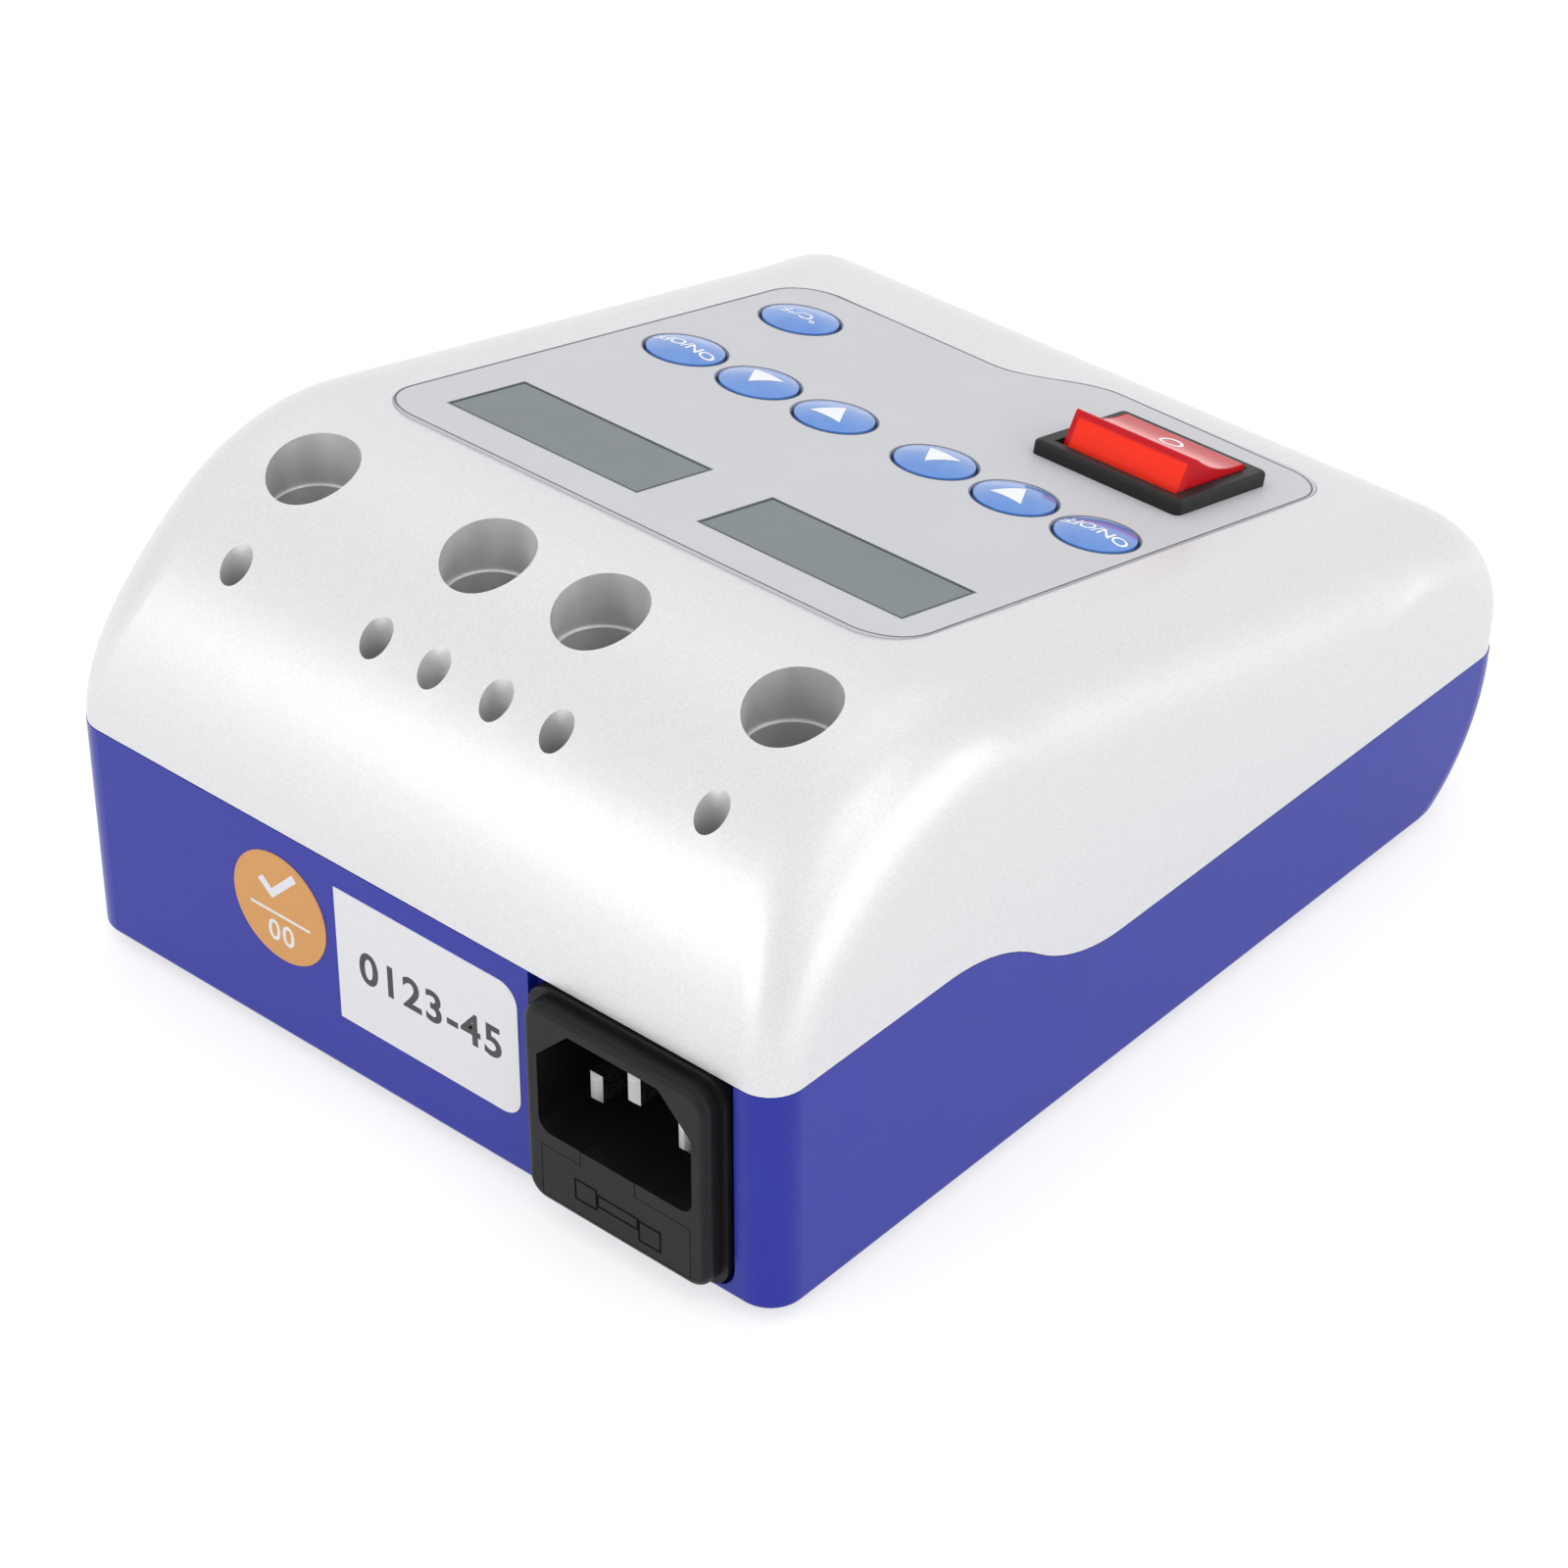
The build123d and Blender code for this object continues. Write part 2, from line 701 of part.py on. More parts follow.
def make_base():
    whole = base_body(0)
    rim = whole.faces().sort_by(Axis.Z)[0].edges()
    base = fillet(rim, base_edge_radius)
    hollow = base_body(wall)
    base = base - hollow
    pocket_half = inlet_pocket_width / 2
    pad_rear = half_length - inlet_pocket_depth
    pad = block(
        inlet_x - pocket_half - wall,
        inlet_x + pocket_half + wall,
        pad_rear - wall,
        half_length - wall / 2,
        floor_z + wall / 2,
        split_rear_z,
    )
    adds = [pad]
    for x, y, joint_z in case_bosses():
        adds.append(post(x, y, floor_z + wall / 2, joint_z - wall, boss_radius))
        adds.append(post(x, y, floor_z + wall / 2, joint_z - case_screw_grip + wall, case_post_radius))
    for x, y in power_board_posts():
        adds.append(post(x, y, floor_z + wall / 2, floor_top + power_board_rise, post_radius))
    for y in bracket_holes():
        adds.append(post(transformer_x, y, floor_z + wall / 2, floor_top + bracket_boss_rise, post_radius))
    for sign in (-1, 1):
        z = floor_z + socket_height
        face_y = -socket_pad_reach
        adds.append(rod_y(sign * socket_x, z, face_y, face_y + socket_pad_depth, socket_pad_radius))
    socket_room = block(-half_width, half_width, -half_length, half_length, floor_z, split_front_z)
    for solid in adds[:-2]:
        base = base + (solid & whole)
    for solid in adds[-2:]:
        base = base + (solid & socket_room)
    base = base - above_split(0)
    for x, y, joint_z in case_bosses():
        base = base + post(x, y, joint_z - 2 * wall, joint_z, boss_radius)
    recess = block(
        inlet_x - pocket_half,
        inlet_x + pocket_half,
        pad_rear,
        half_length + wall,
        floor_z + inlet_pocket_floor,
        split_rear_z + wall,
    )
    lower_edges = recess.edges().filter_by(Axis.Y).sort_by(Axis.Z)[:2]
    base = base - fillet(lower_edges, inlet_flange_radius)
    opening = block(
        inlet_x - inlet_body_width / 2 - inlet_cutout_clearance,
        inlet_x + inlet_body_width / 2 + inlet_cutout_clearance,
        half_length - wall * 4,
        half_length + wall,
        floor_z + inlet_body_bottom - inlet_cutout_clearance,
        floor_z + inlet_body_top + inlet_cutout_clearance,
    )
    base = base - opening
    for x, y, joint_z in case_bosses():
        seat_z = joint_z - case_screw_grip
        through = post(x, y, floor_z - wall, joint_z + wall, screw_radius + screw_hole_clearance)
        head = post(x, y, floor_z - wall, seat_z, screw_head_radius + screw_recess_clearance)
        base = base - through - head
    for x, y in power_board_posts():
        bite = board_screw_length - board_thickness
        top = floor_top + power_board_rise
        base = base - post(x, y, top - bite, top + wall, board_screw_radius + screw_clearance)
    for y in bracket_holes():
        top = floor_top + bracket_boss_rise
        base = base - post(transformer_x, y, top - bracket_screw_bite, top + wall, screw_radius + screw_clearance)
    for sign in (-1, 1):
        z = floor_z + socket_height
        x = sign * socket_x
        face = -socket_pad_reach
        bore = socket_barrel_radius + socket_hole_clearance
        base = base - rod_y(x, z, -half_length - wall, face + wall * 4, bore)
        base = base - rod_y(x, z, -half_length - wall, face, socket_flange_radius + socket_face_margin)
        behind = face + socket_pad_depth
        base = base - rod_y(x, z, behind, behind + wall * 2, socket_nut_room_radius)
    for x, y in foot_places():
        base = base - post(x, y, floor_z - wall, floor_z + foot_plug_length + foot_plug_room, foot_plug_radius)
    return base


def power_board_posts():
    """Places of the power board's four posts."""
    left = power_board_left + post_inset
    right = power_board_right - post_inset
    front = power_board_front + post_inset
    rear = power_board_rear - post_inset
    return [(left, front), (right, front), (left, rear), (right, rear)]


def bracket_holes():
    """Y of the transformer bracket's two screws."""
    reach = core_length / 2 + bracket_foot / 2
    return [transformer_y - reach, transformer_y + reach]


def foot_places():
    """Places of the four rubber feet."""
    x = half_width - foot_side_margin
    rows = (foot_front_margin - half_length, half_length - foot_rear_margin)
    return [(sign * x, y) for sign in (-1, 1) for y in rows]


def make_overlay():
    plate = panel_plate(overlay_outline(0), -overlay_pocket_depth, overlay_top)
    cut = wall * 2
    for _, x, distance in key_places():
        plate = plate - on_panel(x, distance, 0, Cylinder(key_hole_radius, cut))
    for sign in (-1, 1):
        hole = Box(window_width + 2 * window_gap, window_height + 2 * window_gap, cut)
        plate = plate - on_panel(sign * window_x, window_centre, 0, hole)
    opening = Box(
        switch_body_width + 2 * switch_cutout_clearance,
        switch_body_length + 2 * switch_cutout_clearance,
        cut,
    )
    return plate - on_panel(switch_x, switch_distance, 0, opening)


def make_window(sign):
    thickness = overlay_thickness - pane_inset
    pane = Box(window_width, window_height, thickness)
    return on_panel(sign * window_x, window_centre, thickness / 2 - overlay_pocket_depth, pane)


def make_displays():
    """Frames, glasses and backlights of the two displays."""
    frames = []
    glasses = []
    lights = []
    depth = board_drop + display_top
    inner_width = display_width - 2 * display_frame_wall
    inner_height = display_height - 2 * display_frame_wall
    stack = display_glass_thickness + display_light_thickness
    for sign in (-1, 1):
        x = sign * window_x
        frame = Box(display_width, display_height, depth)
        frame = on_panel(x, window_centre, display_top - depth / 2, frame)
        seat = Box(inner_width, inner_height, stack)
        frame = frame - on_panel(x, window_centre, display_top - stack / 2, seat)
        ledge = 2 * display_frame_ledge
        through = Box(inner_width - ledge, inner_height - ledge, depth * 2)
        frames.append(frame - on_panel(x, window_centre, display_top - depth / 2, through))
        sheet_width = inner_width - 2 * display_fit
        sheet_height = inner_height - 2 * display_fit
        glass = Box(sheet_width, sheet_height, display_glass_thickness)
        glasses.append(on_panel(x, window_centre, display_top - display_glass_thickness / 2, glass))
        light = Box(sheet_width, sheet_height, display_light_thickness)
        middle = display_top - display_glass_thickness - display_light_thickness / 2
        lights.append(on_panel(x, window_centre, middle, light))
    return frames, glasses, lights


def make_key(x, distance):
    """One key: domed cap, a flange that holds it under the cover, and its stem."""
    flange_top = -wall - key_rest_clearance
    flange_bottom = flange_top - key_flange_thickness
    top = overlay_top + key_rim_height + key_dome_height - flange_bottom
    ball_radius = (key_radius**2 + key_dome_height**2) / (2 * key_dome_height)
    cap = Pos(0, 0, top / 2) * Cylinder(key_radius, top)
    cap = cap & Pos(0, 0, top - ball_radius) * Sphere(ball_radius)
    flange = Cylinder(key_hole_radius + key_flange, key_flange_thickness)
    flange = Pos(0, 0, key_flange_thickness / 2) * flange
    stem_end = tact_floor + key_travel + key_stem_end_clearance - board_drop
    length = flange_bottom - stem_end + key_flange_thickness / 2
    stem = Pos(0, 0, key_flange_thickness / 2 - length / 2) * Cylinder(key_stem_radius, length)
    return on_panel(x, distance, flange_bottom, cap + flange + stem)


def make_tact_bodies():
    bodies = []
    for _, x, distance in key_places():
        body = Pos(0, 0, tact_height / 2) * Box(tact_size, tact_size, tact_height)
        bore = Pos(0, 0, tact_height / 2 + tact_floor)
        body = body - bore * Cylinder(key_stem_radius + key_stem_clearance, tact_height)
        bodies.append(on_panel(x, distance, -board_drop, body))
    return bodies


def make_display_board():
    front = board_front_margin
    width = board_half_width
    main = Box(2 * width, front - board_rear_margin, board_thickness)
    level = -board_drop - board_thickness / 2
    board = on_panel(0, (front + board_rear_margin) / 2, level, main)
    tail_width = width - board_tail_start
    tail = Box(tail_width, board_tail_margin - front + 1, board_thickness)
    middle = (board_tail_margin + front - 1) / 2
    board = board + on_panel(board_tail_start + tail_width / 2, middle, level, tail)
    for x, distance in board_bosses():
        hole = Cylinder(board_screw_radius + board_hole_clearance, board_thickness * 2)
        board = board - on_panel(x, distance, level, hole)
    return board


def make_board_screws():
    """Screws of both boards: the display board's from below, the power board's from above."""
    screws = []
    length = board_screw_length
    for x, distance in board_bosses():
        under = -board_drop - board_thickness
        shank = on_panel(x, distance, under + length / 2, Cylinder(board_screw_radius, length))
        head_middle = under - screw_head_height / 2
        head = on_panel(x, distance, head_middle, Cylinder(board_screw_head, screw_head_height))
        screws.append(shank + head)
    for x, y in power_board_posts():
        shank = post(x, y, power_board_top - length, power_board_top, board_screw_radius)
        head = post(x, y, power_board_top, power_board_top + screw_head_height, board_screw_head)
        slot_bottom = power_board_top + screw_head_height - screw_socket_depth
        socket = post(x, y, slot_bottom, slot_bottom + wall, board_screw_radius / 2)
        screws.append(shank + head - socket)
    return screws


def rocker_profile():
    """The rocker seen along its pivot, level, with its pivot at the origin."""
    crown = (rocker_top_half, rocker_top_height)
    waist = (rocker_waist_half, 0)
    heel = (rocker_heel_half, -rocker_heel_drop)
    dish = (0, rocker_top_height - rocker_dish)
    edges = [
        ThreePointArc((-crown[0], crown[1]), dish, crown),
        Line(crown, waist),
        Line(waist, heel),
        Line(heel, (-heel[0], heel[1])),
        Line((-heel[0], heel[1]), (-waist[0], 0)),
        Line((-waist[0], 0), (-crown[0], crown[1])),
    ]
    face = make_face(edges)
    return fillet(face.vertices().group_by(Axis.Y)[-1], rocker_edge_radius)


def make_rocker():
    side = Plane(origin=(0, 0, 0), x_dir=(0, 1, 0), z_dir=(1, 0, 0))
    rocker = extrude(side * rocker_profile(), amount=rocker_width / 2, both=True)
    pin_end = rocker_width / 2 + rocker_side_clearance + rocker_pin_length
    rocker = rocker + rod_x(0, 0, -pin_end, pin_end, rocker_pin_radius)
    leg_x = rocker_leg_width / 2
    leg_y = rocker_leg_thickness / 2
    rocker = rocker + block(-leg_x, leg_x, -leg_y, leg_y, -rocker_leg_length, 0)
    turned = Rot(rocker_rest_angle, 0, 0) * rocker
    return on_panel(switch_x, switch_distance, rocker_pivot_lift, turned)


def switch_blades():
    """Four push-on blades under the switch, in a square."""
    blades = []
    top = -switch_body_depth + blade_seat
    bottom = -switch_body_depth - blade_length
    for x in (-blade_column, blade_column):
        for y in (-blade_row, blade_row):
            half = blade_width / 2
            thick = blade_thickness / 2
            blade = block(x - thick, x + thick, y - half, y + half, bottom, top)
            blades.append(on_panel(switch_x, switch_distance, 0, blade))
    return blades


def make_switch_housing():
    top = overlay_top + switch_bezel_height
    bezel = Pos(0, 0, overlay_top + switch_bezel_height / 2)
    bezel = bezel * Box(switch_bezel_width, switch_bezel_length, switch_bezel_height)
    bezel = fillet(bezel.edges().filter_by(Axis.Z), bezel_corner_radius)
    bezel = fillet(bezel.faces().sort_by(Axis.Z)[-1].edges(), bezel_edge_radius)
    body = block(
        -switch_body_width / 2,
        switch_body_width / 2,
        -switch_body_length / 2,
        switch_body_length / 2,
        -switch_body_depth,
        overlay_top + 0.5,
    )
    housing = bezel + body
    half_room = rocker_width / 2 + rocker_side_clearance
    half_swing = switch_room_half
    room = block(-half_room, half_room, -half_swing, half_swing, -switch_room_depth, top + wall)
    housing = housing - room
    hole_reach = half_room + rocker_pin_length + rocker_pin_clearance
    hole_radius = rocker_pin_radius + rocker_pin_clearance
    hole = rod_x(0, rocker_pivot_lift, -hole_reach, hole_reach, hole_radius)
    housing = housing - hole
    housing = on_panel(switch_x, switch_distance, 0, housing)
    for blade in switch_blades():
        housing = housing - blade
    return housing


def make_lamp():
    half = lamp_length / 2
    tube = rod_x(0, -switch_room_depth + lamp_radius, -half, half, lamp_radius)
    return on_panel(switch_x, switch_distance, 0, tube)


def inlet_room(grow, depth):
    """The mains inlet's cavity outline, cut inwards from the face."""
    half = cavity_width / 2 + grow
    tall = cavity_height / 2 + grow
    z = floor_z + cavity_centre_height
    room = block(inlet_x - half, inlet_x + half, rear_face - depth, rear_face + 1, z - tall, z + tall)
    upright = room.edges().filter_by(Axis.Y).sort_by(Axis.Z)
    room = chamfer(upright[2:], cavity_chamfer)
    lower = room.edges().filter_by(Axis.Y).sort_by(Axis.Z)[:2]
    return fillet(lower, cavity_round)


def drawer_front(grow, deep):
    """The fuse drawer's stepped front, with its pull tab reaching the cavity."""
    half = drawer_face_width / 2 + grow
    z0 = floor_z + drawer_face_bottom
    z1 = z0 + drawer_face_height
    y0 = rear_face - drawer_face_thickness - deep
    plate = block(inlet_x - half, inlet_x + half, y0, rear_face, z0 - grow, z1 + grow)
    tab_x = inlet_x + drawer_tab_shift
    tab_half = drawer_tab_width / 2 + grow
    tab_top = floor_z + cavity_centre_height - cavity_height / 2
    tab = block(tab_x - tab_half, tab_x + tab_half, y0, rear_face, z1 - 1, tab_top - 0.05 + grow)
    return plate + tab


def drawer_box(grow, deep):
    """The part of the drawer that slides inside the inlet."""
    half = drawer_body_width / 2 + grow
    middle = floor_z + drawer_face_bottom + drawer_face_height / 2
    tall = drawer_body_height / 2 + grow
    y1 = rear_face - drawer_face_thickness + 0.1
    y0 = rear_face - drawer_face_thickness - drawer_length - deep
    return block(inlet_x - half, inlet_x + half, y0, y1, middle - tall, middle + tall)


def fuse_places():
    """Y of the fuse in use and of the spare one."""
    face = rear_face - drawer_face_thickness
    return [face - fuse_setback, face - fuse_setback + 2 * fuse_radius + drawer_wall]


def fuse_axis_height():
    middle = floor_z + drawer_face_bottom + drawer_face_height / 2
    return middle - drawer_body_height / 2 + drawer_wall + fuse_radius + fuse_seat_clearance


def make_drawer():
    drawer = drawer_front(0, 0) + drawer_box(0, 0)
    half = fuse_length / 2 + fuse_seat_clearance
    z = fuse_axis_height()
    radius = fuse_radius + fuse_seat_clearance
    for y in fuse_places():
        trough = rod_x(y, z, inlet_x - half, inlet_x + half, radius)
        top = block(inlet_x - half, inlet_x + half, y - radius, y + radius, z, z + radius * 2)
        drawer = drawer - trough - top
    return drawer


def make_fuses():
    tubes = []
    caps = []
    z = fuse_axis_height() - fuse_seat_clearance / 2
    inner = fuse_radius - fuse_cap_wall
    for y in fuse_places():
        for sign in (-1, 1):
            end = inlet_x + sign * fuse_length / 2
            start = end - sign * fuse_cap_length
            cap = rod_x(y, z, min(start, end), max(start, end), fuse_radius)
            seat = end - sign * fuse_cap_wall
            inside = rod_x(y, z, min(start, seat), max(start, seat), inner)
            caps.append(cap - inside)
        half = fuse_length / 2 - fuse_cap_wall
        tube = rod_x(y, z, inlet_x - half, inlet_x + half, inner)
        bore = rod_x(y, z, inlet_x - half - 1, inlet_x + half + 1, inner - fuse_glass_wall)
        tubes.append(tube - bore)
    return tubes, caps


def make_inlet_pins():
    """Live, neutral and earth pins with the push-on blades behind them."""
    pins = []
    z = floor_z + cavity_centre_height
    floor_y = rear_face - cavity_depth
    tip = rear_face - pin_setback
    for x, high, lead in (
        (-pin_pitch, z - pin_offset, 0),
        (pin_pitch, z - pin_offset, 0),
        (0, z + pin_offset, earth_pin_lead),
    ):
        middle = inlet_x + x
        half = pin_width / 2
        tall = pin_height / 2
        start = floor_y - cavity_back_wall
        pin = block(middle - half, middle + half, start, tip + lead, high - tall, high + tall)
        pin = chamfer(pin.faces().sort_by(Axis.Y)[-1].edges(), pin_point)
        thin = terminal_thickness / 2
        tab = block(
            middle - thin,
            middle + thin,
            start - terminal_length,
            start + 1,
            high - terminal_width / 2,
            high + terminal_width / 2,
        )
        pins.append(pin + tab)
    return pins


def make_inlet_housing(pins):
    bottom = floor_z + inlet_flange_bottom
    top = floor_z + inlet_flange_top
    seat_y = half_length - inlet_pocket_depth
    flange_y = seat_y + inlet_flange_thickness
    half = inlet_flange_width / 2
    flange = block(inlet_x - half, inlet_x + half, seat_y, flange_y, bottom, top)
    flange = fillet(flange.edges().filter_by(Axis.Y), inlet_flange_radius)
    half = inlet_face_width / 2
    face = block(
        inlet_x - half,
        inlet_x + half,
        flange_y,
        rear_face,
        floor_z + inlet_face_bottom,
        floor_z + inlet_face_top,
    )
    face = fillet(face.edges().filter_by(Axis.Y), inlet_face_radius)
    face = fillet(face.faces().sort_by(Axis.Y)[-1].edges(), inlet_face_edge)
    half = inlet_body_width / 2
    body = block(
        inlet_x - half,
        inlet_x + half,
        rear_face - cavity_depth - cavity_back_wall,
        seat_y + 0.5,
        floor_z + inlet_body_bottom,
        floor_z + inlet_body_top,
    )
    housing = flange + face + body
    housing = housing - inlet_room(0, cavity_depth)
    housing = housing - drawer_front(drawer_clearance, 0) - drawer_box(drawer_clearance, drawer_clearance)
    for pin in pins:
        housing = housing - pin
    return housing


def make_seal():
    z = floor_z + seal_height
    return rod_y(seal_x, z, half_length, half_length + sticker_thickness, seal_radius)


def make_date_label():
    label = block(
        date_label_left,
        date_label_right,
        half_length,
        half_length + sticker_thickness,
        floor_z + date_label_bottom,
        floor_z + date_label_top,
    )
    round_corners = label.edges().filter_by(Axis.Y).sort_by(Axis.X)[:2]
    return fillet(round_corners, date_label_radius)


def make_case_screws():
    screws = []
    for x, y, joint_z in case_bosses():
        seat_z = joint_z - case_screw_grip
        low = seat_z - screw_head_height
        head = post(x, y, low, seat_z, screw_head_radius)
        shank = post(x, y, seat_z, joint_z + case_screw_bite - case_screw_spare, screw_radius)
        socket = post(x, y, low - wall, low + screw_socket_depth, screw_radius * screw_socket_share)
        screws.append(head + shank - socket)
    return screws


def make_feet():
    feet = []
    for x, y in foot_places():
        pad = post(x, y, 0, foot_height, foot_radius)
        pad = chamfer(pad.faces().sort_by(Axis.Z)[0].edges(), foot_chamfer)
        feet.append(pad + post(x, y, foot_height - 0.1, foot_height + foot_plug_length, foot_plug_radius))
    return feet


def make_sockets():
    """Shells, inserts, contacts and nuts of the two pen sockets."""
    shells = []
    inserts = []
    contacts = []
    nuts = []
    z = floor_z + socket_height
    face = -socket_pad_reach
    nose = -rear_face
    barrel_end = face + socket_barrel_length
    floor = barrel_end - 1.0
    for sign in (-1, 1):
        x = sign * socket_x
        shell = rod_y(x, z, face - socket_flange_thickness, face, socket_flange_radius)
        shell = shell + rod_y(x, z, nose, face - 0.5, socket_nose_radius)
        shell = shell + rod_y(x, z, face - 0.5, barrel_end, socket_barrel_radius)
        shell = shell - rod_y(x, z, nose - 1, floor, socket_insert_radius)
        shell = shell - rod_y(x, z, floor - 1, barrel_end + 1, socket_insert_radius - 1)
        shells.append(shell)
        insert = rod_y(x, z, nose + socket_recess, floor, socket_insert_radius)
        for i in range(socket_contact_count):
            angle = radians(360 * i / socket_contact_count + 90)
            cx = x + socket_contact_circle * cos(angle)
            cz = z + socket_contact_circle * sin(angle)
            end = barrel_end + socket_tail_length
            insert = insert - rod_y(cx, cz, nose - 1, floor + 1, socket_contact_radius)
            contact = rod_y(cx, cz, nose + socket_recess + 0.3, end, socket_contact_radius)
            bore = rod_y(cx, cz, nose, floor - 2, socket_contact_bore)
            contacts.append(contact - bore)
        inserts.append(insert)
        nut_start = face + socket_pad_depth
        hexagon = extrude(RegularPolygon(socket_nut_across_flats / sqrt(3), 6), socket_nut_thickness)
        nut = Pos(x, nut_start, z) * Rot(-90, 0, 0) * hexagon
        nuts.append(nut - rod_y(x, z, nut_start - 1, nut_start + 9, socket_barrel_radius))
    return shells, inserts, contacts, nuts


def make_transformer():
    """Core, bobbin, two windings, strap and strap screws."""
    x = transformer_x
    y = transformer_y
    base_z = floor_top + bracket_boss_rise + bracket_thickness
    half_x = core_stack / 2
    half_y = core_length / 2
    leg = core_leg
    yoke = (core_height - core_window_height) / 2
    z0 = base_z + yoke
    z1 = z0 + core_window_height
    core = block(x - half_x, x + half_x, y - half_y, y + half_y, base_z, base_z + core_height)
    for sign in (-1, 1):
        inner = y + sign * leg
        outer = y + sign * (half_y - leg)
        room = block(x - half_x - 1, x + half_x + 1, min(inner, outer), max(inner, outer), z0, z1)
        core = core - room
    gap = bobbin_clearance
    tube_x = half_x + gap + bobbin_wall
    tube_y = leg + gap + bobbin_wall
    wide_x = half_x + winding_bulge + bobbin_wall
    wide_y = half_y - leg - gap
    low = z0 + gap
    high = z1 - gap
    middle = (low + high) / 2
    bobbin = block(x - tube_x, x + tube_x, y - tube_y, y + tube_y, low, high)
    windings = []
    for start, end in ((low, low + bobbin_wall), (middle - 0.5, middle + 0.5), (high - bobbin_wall, high)):
        bobbin = bobbin + block(x - wide_x, x + wide_x, y - wide_y, y + wide_y, start, end)
    hole_x = half_x + gap
    hole_y = leg + gap
    bobbin = bobbin - block(x - hole_x, x + hole_x, y - hole_y, y + hole_y, low - 1, high + 1)
    fill_x = half_x + winding_bulge
    fill_y = wide_y - bobbin_wall
    for start, end in ((low + bobbin_wall, middle - 0.5), (middle + 0.5, high - bobbin_wall)):
        coil = block(x - fill_x, x + fill_x, y - fill_y, y + fill_y, start, end)
        coil = fillet(coil.edges().filter_by(Axis.Z), winding_corner_radius)
        coil = coil - block(x - tube_x, x + tube_x, y - tube_y, y + tube_y, start - 1, end + 1)
        windings.append(coil)
    half_w = bracket_width / 2
    t = bracket_thickness
    top = base_z + core_height
    seat = floor_top + bracket_boss_rise
    strap = block(x - half_w, x + half_w, y - half_y - t, y + half_y + t, seat, top + t)
    strap = strap - block(x - half_w - 1, x + half_w + 1, y - half_y, y + half_y, seat - 1, top)
    reach = half_y + bracket_foot
    for sign in (-1, 1):
        near = y + sign * half_y
        far = y + sign * reach
        strap = strap + block(x - half_w, x + half_w, min(near, far), max(near, far), seat, seat + t)
    screws = []
    for hole_y_place in bracket_holes():
        strap = strap - post(x, hole_y_place, seat - 1, seat + t + 1, screw_radius + screw_hole_clearance)
        shank = post(x, hole_y_place, seat - bracket_screw_bite + 0.2, seat + t, screw_radius)
        head = post(x, hole_y_place, seat + t, seat + t + screw_head_height, screw_head_radius)
        low = seat + t + screw_head_height - screw_socket_depth
        socket = post(x, hole_y_place, low, low + wall, screw_radius * screw_socket_share)
        screws.append(shank + head - socket)
    return core, bobbin, windings, strap, screws


def make_power_board():
    board = block(
        power_board_left,
        power_board_right,
        power_board_front,
        power_board_rear,
        power_board_z,
        power_board_top,
    )
    for x, y in power_board_posts():
        hole_radius = board_screw_radius + board_hole_clearance
        board = board - post(x, y, power_board_z - 1, power_board_top + 1, hole_radius)
    return board


def make_capacitors():
    cans = []
    for side_offset, rear_offset, radius, height in capacitor_sizes:
        x = power_board_left + side_offset
        y = power_board_rear - rear_offset
        can = post(x, y, power_board_top, power_board_top + height, radius)
        cans.append(fillet(can.faces().sort_by(Axis.Z)[-1].edges(), capacitor_edge))
    return cans


def make_heatsink():
    """A finned plate standing on the power board."""
    x0, x1 = heatsink_x, heatsink_x + heatsink_width
    y0 = heatsink_y
    z0 = power_board_top
    z1 = z0 + heatsink_height
    sink = block(x0, x1, y0, y0 + heatsink_plate, z0, z1)
    pitch = (heatsink_width - heatsink_fin) / (heatsink_fins - 1)
    for i in range(heatsink_fins):
        start = x0 + i * pitch
        sink = sink + block(start, start + heatsink_fin, y0, y0 + heatsink_depth, z0, z1)
    return sink


def make_regulators():
    """Two flat packages against the heatsink's plate, on three leads each."""
    packages = []
    rear = heatsink_y
    half = regulator_size / 2
    lead_half = regulator_lead_width / 2
    lead_y = rear - regulator_depth / 2
    for i in range(regulator_count):
        x = heatsink_x + heatsink_width * (i + 0.5) / regulator_count
        z0 = power_board_top + regulator_lift
        body = block(x - half, x + half, rear - regulator_depth, rear, z0, z0 + regulator_size)
        for step in (-1, 0, 1):
            lead_x = x + step * regulator_lead_pitch
            lead = block(
                lead_x - lead_half,
                lead_x + lead_half,
                lead_y - lead_half / 2,
                lead_y + lead_half / 2,
                power_board_top,
                z0 + regulator_lift / 2,
            )
            body = body + lead
        packages.append(body)
    return packages


def make_rectifier():
    """A flat bridge rectifier on four leads."""
    x = power_board_left + rectifier_offset[0]
    y = power_board_rear - rectifier_offset[1]
    z0 = power_board_top + rectifier_lift
    half = rectifier_width / 2
    deep = rectifier_depth / 2
    body = block(x - half, x + half, y - deep, y + deep, z0, z0 + rectifier_height)
    lead_half = rectifier_lead_width / 2
    for step in (-1.5, -0.5, 0.5, 1.5):
        lead_x = x + step * rectifier_lead_pitch
        lead = block(
            lead_x - lead_half,
            lead_x + lead_half,
            y - lead_half,
            y + lead_half,
            power_board_top,
            z0 + lead_half,
        )
        body = body + lead
    return body


